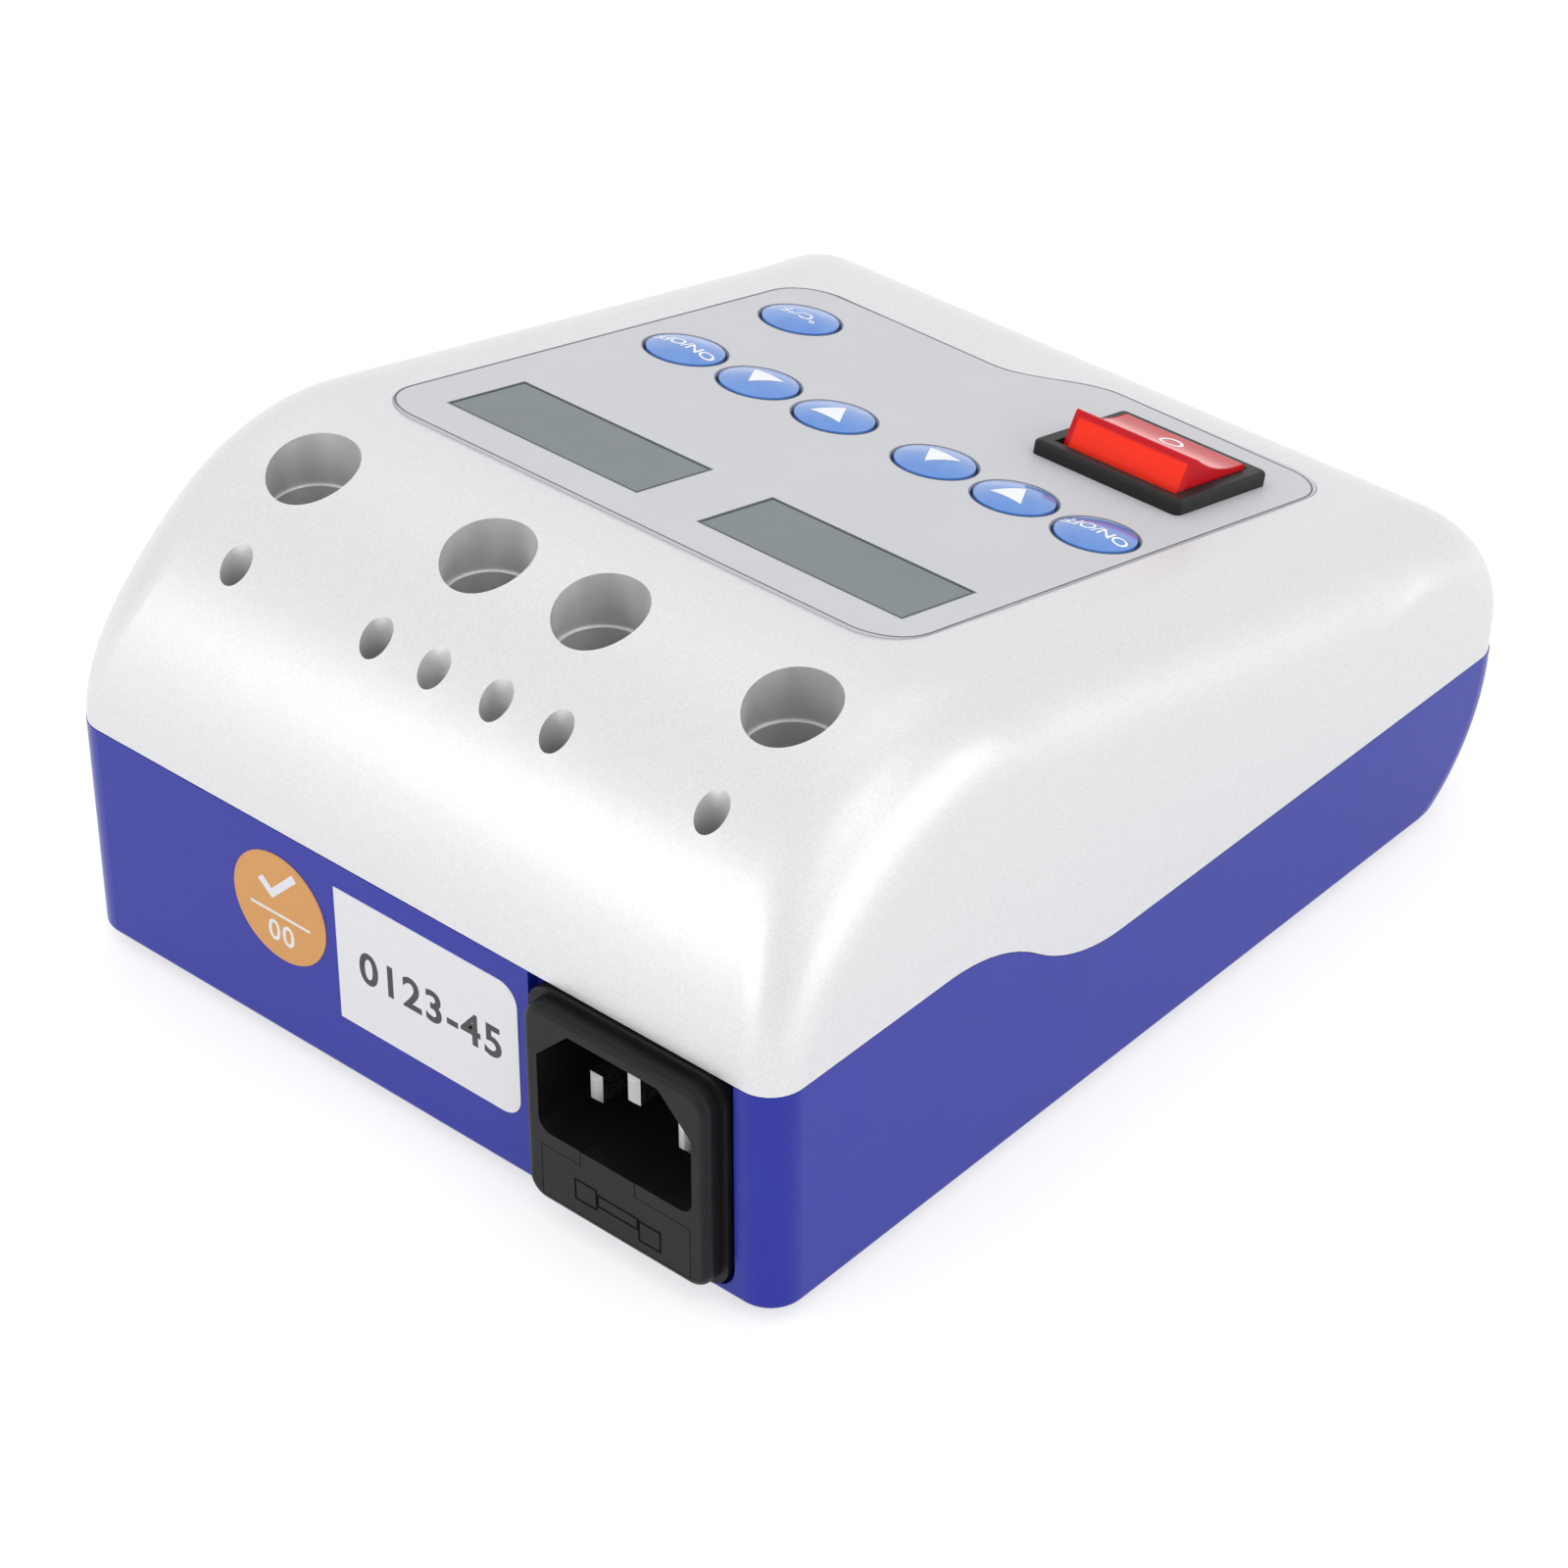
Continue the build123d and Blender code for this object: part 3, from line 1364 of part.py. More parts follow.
def make_terminal_blocks():
    """Two three-way screw terminal blocks."""
    blocks = []
    y = power_board_front + terminal_block_front_offset
    half = terminal_block_width / 2
    deep = terminal_block_depth / 2
    z0 = power_board_top
    z1 = z0 + terminal_block_height
    way_half = terminal_way_width / 2
    for offset in terminal_block_offsets:
        x = power_board_left + offset
        body = block(x - half, x + half, y - deep, y + deep, z0, z1)
        for step in (-1, 0, 1):
            way = x + step * terminal_way_pitch
            body = body - post(way, y, z1 - way_half, z1 + 1, terminal_way_radius)
            mouth = block(
                way - way_half,
                way + way_half,
                y - deep - 1,
                y - deep + way_half,
                z0 + way_half,
                z0 + 3 * way_half,
            )
            body = body - mouth
        blocks.append(body)
    return blocks


def make_chips():
    """The controller on the display board and two driver chips on the power board."""
    controller = Box(chip_size, chip_size, chip_height)
    chips = [on_panel(0, chip_distance, -board_drop + chip_height / 2, controller)]
    y = power_board_rear - driver_rear_offset
    for offset in driver_offsets:
        x = power_board_left + offset
        half = driver_width / 2
        chips.append(
            block(
                x - half,
                x + half,
                y - driver_length / 2,
                y + driver_length / 2,
                power_board_top,
                power_board_top + driver_height,
            )
        )
    return chips


keep("top_cover", make_top_cover())
keep("base", make_base())
keep("panel_overlay", make_overlay())
keep("window_left", make_window(-1))
keep("window_right", make_window(1))
display_frames, display_glasses, display_lights = make_displays()
keep("display_frames", display_frames)
keep("display_glasses", display_glasses)
keep("display_lights", display_lights)
for key_name, key_x, key_distance in key_places():
    keep(key_name, make_key(key_x, key_distance))
keep("tact_switches", make_tact_bodies())
keep("display_board", make_display_board())
keep("board_screws", make_board_screws())
keep("switch_housing", make_switch_housing())
keep("switch_rocker", make_rocker())
keep("switch_lamp", make_lamp())
keep("switch_blades", switch_blades())
inlet_pins = make_inlet_pins()
keep("inlet_housing", make_inlet_housing(inlet_pins))
keep("inlet_pins", inlet_pins)
keep("fuse_drawer", make_drawer())
fuse_tubes, fuse_caps = make_fuses()
keep("fuse_tubes", fuse_tubes)
keep("fuse_caps", fuse_caps)
keep("inspection_seal", make_seal())
keep("date_label", make_date_label())
keep("case_screws", make_case_screws())
keep("feet", make_feet())
socket_shells, socket_inserts, socket_contacts, socket_nuts = make_sockets()
keep("socket_shells", socket_shells)
keep("socket_inserts", socket_inserts)
keep("socket_contacts", socket_contacts)
keep("socket_nuts", socket_nuts)
core, bobbin, windings, strap, strap_screws = make_transformer()
keep("transformer_core", core)
keep("transformer_bobbin", bobbin)
keep("transformer_windings", windings)
keep("transformer_strap", strap)
keep("transformer_screws", strap_screws)
keep("power_board", make_power_board())
keep("capacitors", make_capacitors())
keep("heatsink", make_heatsink())
keep("regulators", make_regulators())
keep("rectifier", make_rectifier())
keep("terminal_blocks", make_terminal_blocks())
keep("chips", make_chips())

for name, shape in finished.items():
    export_step(shape, f"parts/{name}.step")
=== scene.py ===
"""Dresses the electric wax carver: finishes, printed marks, stickers, light and camera.

All lengths inside the classes are in millimetres and become metres when a mesh is made.
"""

import json
import logging
import math
from collections.abc import Callable
from dataclasses import dataclass
from enum import Enum
from typing import Protocol

import bmesh
import bpy
from mathutils import Matrix, Vector

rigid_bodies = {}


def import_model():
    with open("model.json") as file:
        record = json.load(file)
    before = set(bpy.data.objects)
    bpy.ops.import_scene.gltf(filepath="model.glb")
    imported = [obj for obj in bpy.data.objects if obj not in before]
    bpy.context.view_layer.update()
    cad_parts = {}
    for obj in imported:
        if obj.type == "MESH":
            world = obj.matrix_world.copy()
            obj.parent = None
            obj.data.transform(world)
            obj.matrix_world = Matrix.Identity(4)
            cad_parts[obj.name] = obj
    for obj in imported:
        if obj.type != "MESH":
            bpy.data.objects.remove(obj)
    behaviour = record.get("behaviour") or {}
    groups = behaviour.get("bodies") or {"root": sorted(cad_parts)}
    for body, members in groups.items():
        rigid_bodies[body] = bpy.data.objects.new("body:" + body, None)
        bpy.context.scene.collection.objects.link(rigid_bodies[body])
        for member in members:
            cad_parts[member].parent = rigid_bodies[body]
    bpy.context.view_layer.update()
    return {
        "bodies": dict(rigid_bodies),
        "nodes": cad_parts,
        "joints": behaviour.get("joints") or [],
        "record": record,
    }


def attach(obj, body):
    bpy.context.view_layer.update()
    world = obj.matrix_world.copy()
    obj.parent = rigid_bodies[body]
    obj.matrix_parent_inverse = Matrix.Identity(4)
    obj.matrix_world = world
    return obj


log = logging.getLogger("wax_carver")

MM = 0.001
# Most of a noise pattern's values lie between these two.
NOISE_LOW = 0.3
NOISE_HIGH = 0.7
# Parts of a rounded corner's arc.
ARC_STEPS = 8
# How far the marks on the keys and the rocker lie over the plastic, in millimetres.
MARK_LIFT = 0.015
# How far down the panel the row of six keys lies, in millimetres.
KEY_ROW = 49.62

Point = tuple[float, float]
Point3 = tuple[float, float, float]
Box = tuple[float, float, float, float]
Color = tuple[float, float, float]
Stops = list[tuple[float, Color]]


class Body(Enum):
    """The rigid bodies that pieces ride on."""

    CASE = "case"
    ROCKER = "rocker"
    DRAWER = "drawer"


class Mark(Enum):
    """What is printed on a key."""

    UP = "up"
    DOWN = "down"
    POWER = "ON/OFF"
    UNITS = "°C/°F"


class Graph:
    """A material's nodes around one Principled shader, in object coordinates."""

    def __init__(self, name: str) -> None:
        """Starts the material.

        Args:
            name: The material's name.
        """
        self.material = bpy.data.materials.new(name)
        self.material.use_nodes = True
        self.tree = self.material.node_tree
        self.shader = self.tree.nodes["Principled BSDF"]
        self.place = self.tree.nodes.new("ShaderNodeTexCoord").outputs["Object"]

    def set(self, **values: object) -> None:
        """Sets constants on the shader's own sockets.

        Args:
            **values: Socket names with underscores for spaces, and their values.
        """
        for name, value in values.items():
            socket = self.shader.inputs[name.replace("_", " ")]
            if isinstance(value, tuple):
                value = (*value, 1.0)
            socket.default_value = value

    def node(self, kind: str, **values: object) -> bpy.types.Node:
        """Adds a node.

        Args:
            kind: The node's type.
            **values: Attributes set on the node.

        Returns:
            The node.
        """
        made = self.tree.nodes.new(kind)
        for name, value in values.items():
            setattr(made, name, value)
        return made

    def link(self, output: bpy.types.NodeSocket, target: bpy.types.NodeSocket) -> None:
        """Joins two sockets."""
        self.tree.links.new(output, target)

    def stretched(self, scale: tuple[float, float, float]) -> bpy.types.NodeSocket:
        """Object coordinates stretched along the axes.

        Args:
            scale: The factor along each axis.

        Returns:
            The stretched coordinates.
        """
        mapping = self.node("ShaderNodeMapping")
        mapping.inputs["Scale"].default_value = scale
        self.link(self.place, mapping.inputs["Vector"])
        return mapping.outputs["Vector"]

    def noise(
        self, per_metre: float, detail: float = 2.0, place: bpy.types.NodeSocket | None = None
    ) -> bpy.types.NodeSocket:
        """A noise pattern.

        Args:
            per_metre: Features per metre.
            detail: Octaves of finer noise.
            place: Coordinates, or none for the object's own.

        Returns:
            The noise value.
        """
        made = self.node("ShaderNodeTexNoise")
        made.inputs["Scale"].default_value = per_metre
        made.inputs["Detail"].default_value = detail
        self.link(place or self.place, made.inputs["Vector"])
        return made.outputs["Fac"]

    def cells(self, per_metre: float) -> bpy.types.NodeSocket:
        """A random value per small cell.

        Args:
            per_metre: Cells per metre.

        Returns:
            The cell colour.
        """
        made = self.node("ShaderNodeTexVoronoi")
        made.inputs["Scale"].default_value = per_metre
        self.link(self.place, made.inputs["Vector"])
        return made.outputs["Color"]

    def ramp(self, value: bpy.types.NodeSocket, stops: Stops) -> bpy.types.NodeSocket:
        """Colours a value.

        Args:
            value: The value from 0 to 1.
            stops: Positions with their colours.

        Returns:
            The colour.
        """
        made = self.node("ShaderNodeValToRGB")
        elements = made.color_ramp.elements
        for index, (position, color) in enumerate(stops):
            element = elements[index] if index < 2 else elements.new(position)
            element.position = position
            element.color = (*color, 1.0)
        self.link(value, made.inputs["Fac"])
        return made.outputs["Color"]

    def levels(
        self, value: bpy.types.NodeSocket, low: float, high: float
    ) -> bpy.types.NodeSocket:
        """Maps a noise pattern's usual values onto a range.

        Args:
            value: The value.
            low: What the low end becomes.
            high: What the high end becomes.

        Returns:
            The mapped value.
        """
        made = self.node("ShaderNodeMapRange")
        made.inputs["From Min"].default_value = NOISE_LOW
        made.inputs["From Max"].default_value = NOISE_HIGH
        made.inputs["To Min"].default_value = low
        made.inputs["To Max"].default_value = high
        self.link(value, made.inputs["Value"])
        return made.outputs["Result"]

    def math(self, operation: str, *values: bpy.types.NodeSocket | float) -> bpy.types.NodeSocket:
        """A sum on sockets or numbers.

        Args:
            operation: The math node's operation.
            *values: Its inputs in order.

        Returns:
            The result.
        """
        made = self.node("ShaderNodeMath", operation=operation)
        for target, value in zip(made.inputs, values):
            if isinstance(value, (int, float)):
                target.default_value = value
            else:
                self.link(value, target)
        return made.outputs["Value"]

    def parts(self, vector: bpy.types.NodeSocket) -> list[bpy.types.NodeSocket]:
        """A vector's three parts."""
        split = self.node("ShaderNodeSeparateXYZ")
        self.link(vector, split.inputs["Vector"])
        return list(split.outputs)

    def fade(self, value: bpy.types.NodeSocket, full: float, none: float) -> bpy.types.NodeSocket:
        """One where a value is before a limit, falling smoothly to nothing past it.

        Args:
            value: The value.
            full: Where the fall starts.
            none: Where it ends.

        Returns:
            The share.
        """
        made = self.node("ShaderNodeMapRange", interpolation_type="SMOOTHSTEP")
        made.inputs["From Min"].default_value = full
        made.inputs["From Max"].default_value = none
        made.inputs["To Min"].default_value = 1.0
        made.inputs["To Max"].default_value = 0.0
        self.link(value, made.inputs["Value"])
        return made.outputs["Result"]

    def blend(
        self,
        share: bpy.types.NodeSocket,
        plain: bpy.types.NodeSocket,
        other: bpy.types.NodeSocket,
    ) -> bpy.types.NodeSocket:
        """Mixes two colours.

        Args:
            share: The second colour's share, from 0 to 1.
            plain: The first colour.
            other: The second colour.

        Returns:
            The mixed colour.
        """
        made = self.node("ShaderNodeMix", data_type="RGBA")
        # The sockets for colours share their names with those for numbers.
        factor, first, second = made.inputs[0], made.inputs[6], made.inputs[7]
        self.link(share, factor)
        self.link(plain, first)
        self.link(other, second)
        return made.outputs[2]

    def paint(self, value: bpy.types.NodeSocket, stops: Stops) -> None:
        """Colours the shader by a pattern.

        Args:
            value: The pattern, from 0 to 1.
            stops: Positions with their colours.
        """
        self.link(self.ramp(value, stops), self.shader.inputs["Base Color"])

    def gloss(self, value: bpy.types.NodeSocket, low: float, high: float) -> None:
        """Sets the shader's roughness by a noise pattern.

        Args:
            value: The pattern.
            low: The roughness at its low end.
            high: The roughness at its high end.
        """
        self.link(self.levels(value, low, high), self.shader.inputs["Roughness"])

    def emboss(self, value: bpy.types.NodeSocket, depth_mm: float) -> None:
        """Adds a bump on top of the earlier ones.

        Args:
            value: The height pattern, from 0 to 1.
            depth_mm: How deep it is.
        """
        made = self.node("ShaderNodeBump")
        made.inputs["Strength"].default_value = 1.0
        made.inputs["Distance"].default_value = depth_mm * MM
        self.link(value, made.inputs["Height"])
        links = self.shader.inputs["Normal"].links
        if links:
            self.link(links[0].from_socket, made.inputs["Normal"])
        self.link(made.outputs["Normal"], self.shader.inputs["Normal"])


def shade(color: Color, factor: float) -> Color:
    """A colour made lighter or darker."""
    return tuple(min(1.0, part * factor) for part in color)


def tones(
    color: Color, dark: float, light: float, ends: Point = (NOISE_LOW, NOISE_HIGH)
) -> Stops:
    """A darker and a lighter tone of a colour, as a ramp's two stops.

    Args:
        color: The colour.
        dark: The factor at the first stop.
        light: The factor at the second stop.
        ends: Where the two stops lie.

    Returns:
        The stops.
    """
    return [(ends[0], shade(color, dark)), (ends[1], shade(color, light))]


class Finish(Protocol):
    """Anything that makes a material."""

    def make(self) -> bpy.types.Material:
        """Builds the material."""


@dataclass(frozen=True)
class Moulded:
    """A moulded plastic with faint grain, soft mottling and uneven gloss."""

    name: str
    color: Color
    roughness: float = 0.4
    grain_per_metre: float = 1500.0
    grain_depth: float = 0.01
    mottle: float = 0.06
    coat: float = 0.0
    shine: float = 0.4

    def make(self) -> bpy.types.Material:
        """Builds the material."""
        graph = Graph(self.name)
        graph.set(Specular_IOR_Level=self.shine, Coat_Weight=self.coat, Coat_Roughness=0.08)
        graph.paint(graph.noise(60.0, 3.0), tones(self.color, 1 - self.mottle, 1 + self.mottle))
        graph.gloss(graph.noise(240.0, 4.0), self.roughness * 0.88, self.roughness * 1.12)
        graph.emboss(graph.noise(self.grain_per_metre, 3.0), self.grain_depth)
        return graph.material


@dataclass(frozen=True)
class PearlPaint:
    """Silver paint with fine flakes in it, with painted reflections and shade as streaks on the
    walls of the wells.
    """

    name: str
    color: Color
    dark_painted_reflection: Color = (0.68, 0.685, 0.68)
    light_painted_reflection: Color = (0.98, 0.98, 0.985)
    wells_reach: float = 56.0
    wells_middle: float = 50.5
    wells_span: float = 12.5
    flake_per_metre: float = 5200.0
    roughness: float = 0.38
    metallic: float = 0.7

    def make(self) -> bpy.types.Material:
        """Builds the material."""
        graph = Graph(self.name)
        graph.set(Metallic=self.metallic, Coat_Weight=0.15, Coat_Roughness=0.3)
        flakes = graph.cells(self.flake_per_metre)
        painted = graph.ramp(flakes, tones(self.color, 0.93, 1.05, (0.0, 1.0)))
        # Painted reflections and shade: light and dark streaks on the upright walls of the wells.
        painted_light_streaks = graph.noise(150.0, 1.0, graph.stretched((1.0, 1.0, 0.2)))
        painted_reflections = graph.ramp(painted_light_streaks, [(0.36, self.dark_painted_reflection), (0.66, self.light_painted_reflection)])
        mixed = graph.blend(self.wells(graph), painted, painted_reflections)
        graph.link(mixed, graph.shader.inputs["Base Color"])
        graph.gloss(graph.noise(3000.0, 2.0), self.roughness * 0.85, self.roughness * 1.2)
        graph.emboss(graph.noise(6000.0, 2.0), 0.004)
        graph.emboss(graph.noise(420.0, 2.0), 0.004)
        return graph.material

    def wells(self, graph: Graph) -> bpy.types.NodeSocket:
        """Where the painted reflections and shade go: one on the upright walls of the wells, and
        nothing elsewhere.
        """
        x, y, _ = graph.parts(graph.place)
        face = graph.node("ShaderNodeNewGeometry").outputs["True Normal"]
        upright = graph.fade(graph.math("ABSOLUTE", graph.parts(face)[2]), 0.15, 0.25)
        reach = self.wells_reach * MM
        within = graph.fade(graph.math("ABSOLUTE", x), reach - MM, reach)
        away = graph.math("ABSOLUTE", graph.math("SUBTRACT", y, self.wells_middle * MM))
        near = graph.fade(away, self.wells_span * MM - MM / 4, self.wells_span * MM)
        return graph.math("MULTIPLY", upright, graph.math("MULTIPLY", within, near))


@dataclass(frozen=True)
class Plated:
    """Bright or brushed metal with fine marks along one axis."""

    name: str
    color: Color
    roughness: float = 0.25
    marks: tuple[float, float, float] = (1.0, 1.0, 12.0)
    mark_depth: float = 0.006

    def make(self) -> bpy.types.Material:
        """Builds the material."""
        graph = Graph(self.name)
        graph.set(Metallic=1.0)
        lines = graph.noise(900.0, 4.0, graph.stretched(self.marks))
        graph.paint(lines, tones(self.color, 0.85, 1.08))
        graph.gloss(lines, self.roughness * 0.75, self.roughness * 1.3)
        graph.emboss(lines, self.mark_depth)
        return graph.material


@dataclass(frozen=True)
class ClearTinted:
    """A see-through plastic or glass with a tint."""

    name: str
    color: Color
    roughness: float = 0.06
    transmission: float = 0.8
    refraction: float = 1.49

    def make(self) -> bpy.types.Material:
        """Builds the material."""
        graph = Graph(self.name)
        graph.set(Transmission_Weight=self.transmission, IOR=self.refraction)
        graph.paint(graph.noise(180.0, 2.0), tones(self.color, 0.92, 1.05))
        graph.gloss(graph.noise(700.0, 3.0), self.roughness * 0.7, self.roughness * 1.5)
        graph.emboss(graph.noise(300.0, 2.0), 0.003)
        return graph.material


@dataclass(frozen=True)
class Printed:
    """Ink or printed paper: a flat colour broken by fibre and a slight sheen."""

    name: str
    color: Color
    roughness: float = 0.5
    fibre: float = 0.03

    def make(self) -> bpy.types.Material:
        """Builds the material."""
        graph = Graph(self.name)
        fibres = graph.noise(2600.0, 4.0, graph.stretched((1.0, 1.0, 0.4)))
        graph.paint(fibres, tones(self.color, 1 - self.fibre, 1 + self.fibre))
        graph.gloss(graph.noise(500.0, 3.0), self.roughness * 0.9, self.roughness * 1.1)
        graph.emboss(fibres, 0.004)
        return graph.material


@dataclass(frozen=True)
class Wound:
    """Taped windings or stacked laminations: fine bands across one axis."""

    name: str
    color: Color
    bands_per_metre: float = 600.0
    axis: str = "Z"
    roughness: float = 0.35
    metallic: float = 0.0

    def make(self) -> bpy.types.Material:
        """Builds the material."""
        graph = Graph(self.name)
        graph.set(Metallic=self.metallic)
        bands = graph.node("ShaderNodeTexWave", bands_direction=self.axis)
        bands.inputs["Scale"].default_value = self.bands_per_metre
        bands.inputs["Distortion"].default_value = 0.4
        graph.link(graph.place, bands.inputs["Vector"])
        graph.paint(bands.outputs["Fac"], tones(self.color, 0.72, 1.1, (0.2, 0.8)))
        graph.gloss(graph.noise(400.0), self.roughness * 0.85, self.roughness * 1.2)
        graph.emboss(bands.outputs["Fac"], 0.05)
        return graph.material


@dataclass(frozen=True)
class KeyBlue:
    """A key's blue plastic: two near blues in a soft grain under a clear coat."""

    name: str
    light: Color
    deep: Color

    def make(self) -> bpy.types.Material:
        """Builds the material."""
        graph = Graph(self.name)
        graph.set(Roughness=0.22, Coat_Weight=0.5, Coat_Roughness=0.12)
        graph.paint(graph.noise(420.0, 3.0), [(0.25, self.deep), (0.75, self.light)])
        graph.emboss(graph.noise(1500.0, 2.0), 0.004)
        return graph.material


@dataclass(frozen=True)
class RockerRed:
    """Translucent red plastic, dark in its thick walls, with a painted glow in the inner part of
    its end face.
    """

    name: str
    wall: Color
    inner: Color
    pivot: Point3 = (-24.6, -38.43, 50.72)
    tilt: float = 28.0
    half_width: float = 9.0
    glow_top: float = 5.2
    dish_end: float = 6.2

    def make(self) -> bpy.types.Material:
        """Builds the material."""
        graph = Graph(self.name)
        graph.set(Coat_Roughness=0.06, Roughness=0.4, Specular_IOR_Level=0.15)
        own = graph.node("ShaderNodeMapping", vector_type="TEXTURE")
        own.inputs["Location"].default_value = tuple(part * MM for part in self.pivot)
        own.inputs["Rotation"].default_value = (math.radians(self.tilt), 0.0, 0.0)
        own.inputs["Scale"].default_value = (MM, MM, MM)
        graph.link(graph.place, own.inputs["Vector"])
        x, y, z = graph.parts(own.outputs["Vector"])
        across = graph.math("ABSOLUTE", x)
        along = graph.math("ABSOLUTE", y)
        # Painted glow: the inner part of the end face is coloured brighter, as light through the
        # plastic.
        glow_side = graph.fade(across, self.half_width - 0.5, self.half_width)
        glow_height = graph.fade(z, self.glow_top - 0.6, self.glow_top)
        share = graph.math("MULTIPLY", glow_side, glow_height)
        dish_side = graph.fade(across, self.half_width + 0.2, self.half_width + 0.4)
        dish_length = graph.fade(along, self.dish_end - 0.2, self.dish_end)
        dish = graph.math("MULTIPLY", dish_side, dish_length)
        graph.link(graph.math("MULTIPLY", dish, 0.8), graph.shader.inputs["Coat Weight"])
        # Soft streaks in the painted glow.
        painted_light_streaks = graph.noise(260.0, 3.0, graph.stretched((0.3, 1.0, 2.0)))
        lit = graph.math("MULTIPLY", share, graph.levels(painted_light_streaks, 0.84, 1.06))
        color = graph.ramp(lit, [(0.0, self.wall), (1.0, self.inner)])
        graph.link(color, graph.shader.inputs["Base Color"])
        # The colour is also a faint emission: a painted glow over the whole rocker.
        graph.link(color, graph.shader.inputs["Emission Color"])
        graph.set(Emission_Strength=0.12)
        graph.emboss(graph.noise(300.0, 2.0), 0.002)
        return graph.material


SLOT_FINISHES: dict[str, Finish] = {
    "cover_paint": PearlPaint("cover_paint_look", (0.75, 0.75, 0.765)),
    "base_blue": Moulded(
        "base_blue_look",
        (0.017, 0.026, 0.375),
        roughness=0.24,
        grain_per_metre=240.0,
        grain_depth=0.004,
        mottle=0.03,
        shine=0.3,
    ),
    "overlay_film": Moulded(
        "overlay_film_look", (0.575, 0.58, 0.61), roughness=0.45, grain_depth=0.004, mottle=0.015
    ),
    "lcd_pane": Moulded(
        "lcd_pane_look",
        (0.145, 0.175, 0.182),
        roughness=0.35,
        grain_depth=0.0,
        mottle=0.03,
        coat=0.15,
    ),
    "display_dark": Moulded("display_dark_look", (0.03, 0.03, 0.03)),
    "lcd_glass": Moulded("lcd_glass_look", (0.24, 0.28, 0.28), roughness=0.2, mottle=0.03),
    "light_guide": Moulded("light_guide_look", (0.75, 0.78, 0.74), roughness=0.3),
    "key_blue": KeyBlue("key_blue_look", (0.095, 0.265, 0.68), (0.07, 0.21, 0.62)),
    "tact_black": Moulded("tact_black_look", (0.02, 0.02, 0.02)),
    "board_green": Moulded("board_green_look", (0.02, 0.16, 0.07), roughness=0.3, mottle=0.2),
    "screw_steel": Plated("screw_steel_look", (0.55, 0.55, 0.56)),
    "switch_black": Moulded(
        "switch_black_look", (0.012, 0.012, 0.0125), roughness=0.42, grain_depth=0.01, shine=0.25
    ),
    "rocker_red": RockerRed("rocker_red_look", (0.50, 0.006, 0.012), (0.95, 0.030, 0.008)),
    "lamp_glass": ClearTinted("lamp_glass_look", (0.9, 0.75, 0.6)),
    "blade_brass": Plated("blade_brass_look", (0.72, 0.66, 0.50)),
    "inlet_black": Moulded(
        "inlet_black_look", (0.008, 0.008, 0.009), roughness=0.42, grain_depth=0.012, shine=0.2
    ),
    "pin_metal": Plated("pin_metal_look", (0.50, 0.50, 0.50), roughness=0.3),
    "drawer_black": Moulded(
        "drawer_black_look", (0.008, 0.008, 0.009), roughness=0.42, grain_depth=0.012, shine=0.2
    ),
    "fuse_glass": ClearTinted("fuse_glass_look", (0.9, 0.92, 0.92)),
    "fuse_metal": Plated("fuse_metal_look", (0.72, 0.72, 0.72)),
    "seal_orange": Printed("seal_orange_look", (0.74, 0.36, 0.11)),
    "label_white": Printed("label_white_look", (0.87, 0.87, 0.90), roughness=0.4, fibre=0.012),
    "foot_rubber": Moulded("foot_rubber_look", (0.02, 0.02, 0.02), roughness=0.7, grain_depth=0.03),
    "socket_metal": Plated("socket_metal_look", (0.70, 0.70, 0.70)),
    "insert_black": Moulded("insert_black_look", (0.02, 0.02, 0.02)),
    "contact_gold": Plated("contact_gold_look", (0.80, 0.60, 0.25)),
    "core_steel": Wound(
        "core_steel_look",
        (0.20, 0.20, 0.21),
        bands_per_metre=900.0,
        axis="X",
        roughness=0.45,
        metallic=0.6,
    ),
    "bobbin_white": Moulded("bobbin_white_look", (0.75, 0.73, 0.66)),
    "winding_tape": Wound("winding_tape_look", (0.80, 0.58, 0.08), bands_per_metre=250.0),
    "strap_steel": Plated("strap_steel_look", (0.60, 0.60, 0.60), roughness=0.32),
    "can_dark": Moulded("can_dark_look", (0.03, 0.04, 0.10), roughness=0.25),
    "heatsink_alu": Plated("heatsink_alu_look", (0.55, 0.56, 0.57), roughness=0.4),
    "package_black": Moulded("package_black_look", (0.02, 0.02, 0.02)),
    "terminal_green": Moulded("terminal_green_look", (0.03, 0.25, 0.10)),
}

INK_FINISHES: dict[str, Finish] = {
    "edge": Printed("edge_ink", (0.13, 0.13, 0.16)),
    # Painted shade: the ring ink darkens the overlay round each key's gap.
    "ring": Printed("key_gap_shade_ink", (0.095, 0.095, 0.13)),
    "frame": Printed("frame_ink", (0.06, 0.075, 0.08)),
    "white": Printed("white_ink", (0.86, 0.88, 0.92), roughness=0.35),
    "digits": Printed("digit_ink", (0.045, 0.045, 0.05)),
    # Painted shade: near-black lines that stand in for the engraved grooves.
    "engraved": Moulded("engraved_shade", (0.002, 0.002, 0.002), roughness=0.7, shine=0.05),
}


class Inks:
    """Makes each ink's material once."""

    def __init__(self) -> None:
        """Starts with none made."""
        self.made: dict[str, bpy.types.Material] = {}

    def get(self, name: str) -> bpy.types.Material:
        """Gives an ink's material.

        Args:
            name: A key of INK_FINISHES.

        Returns:
            The material.
        """
        if name not in self.made:
            self.made[name] = INK_FINISHES[name].make()
        return self.made[name]


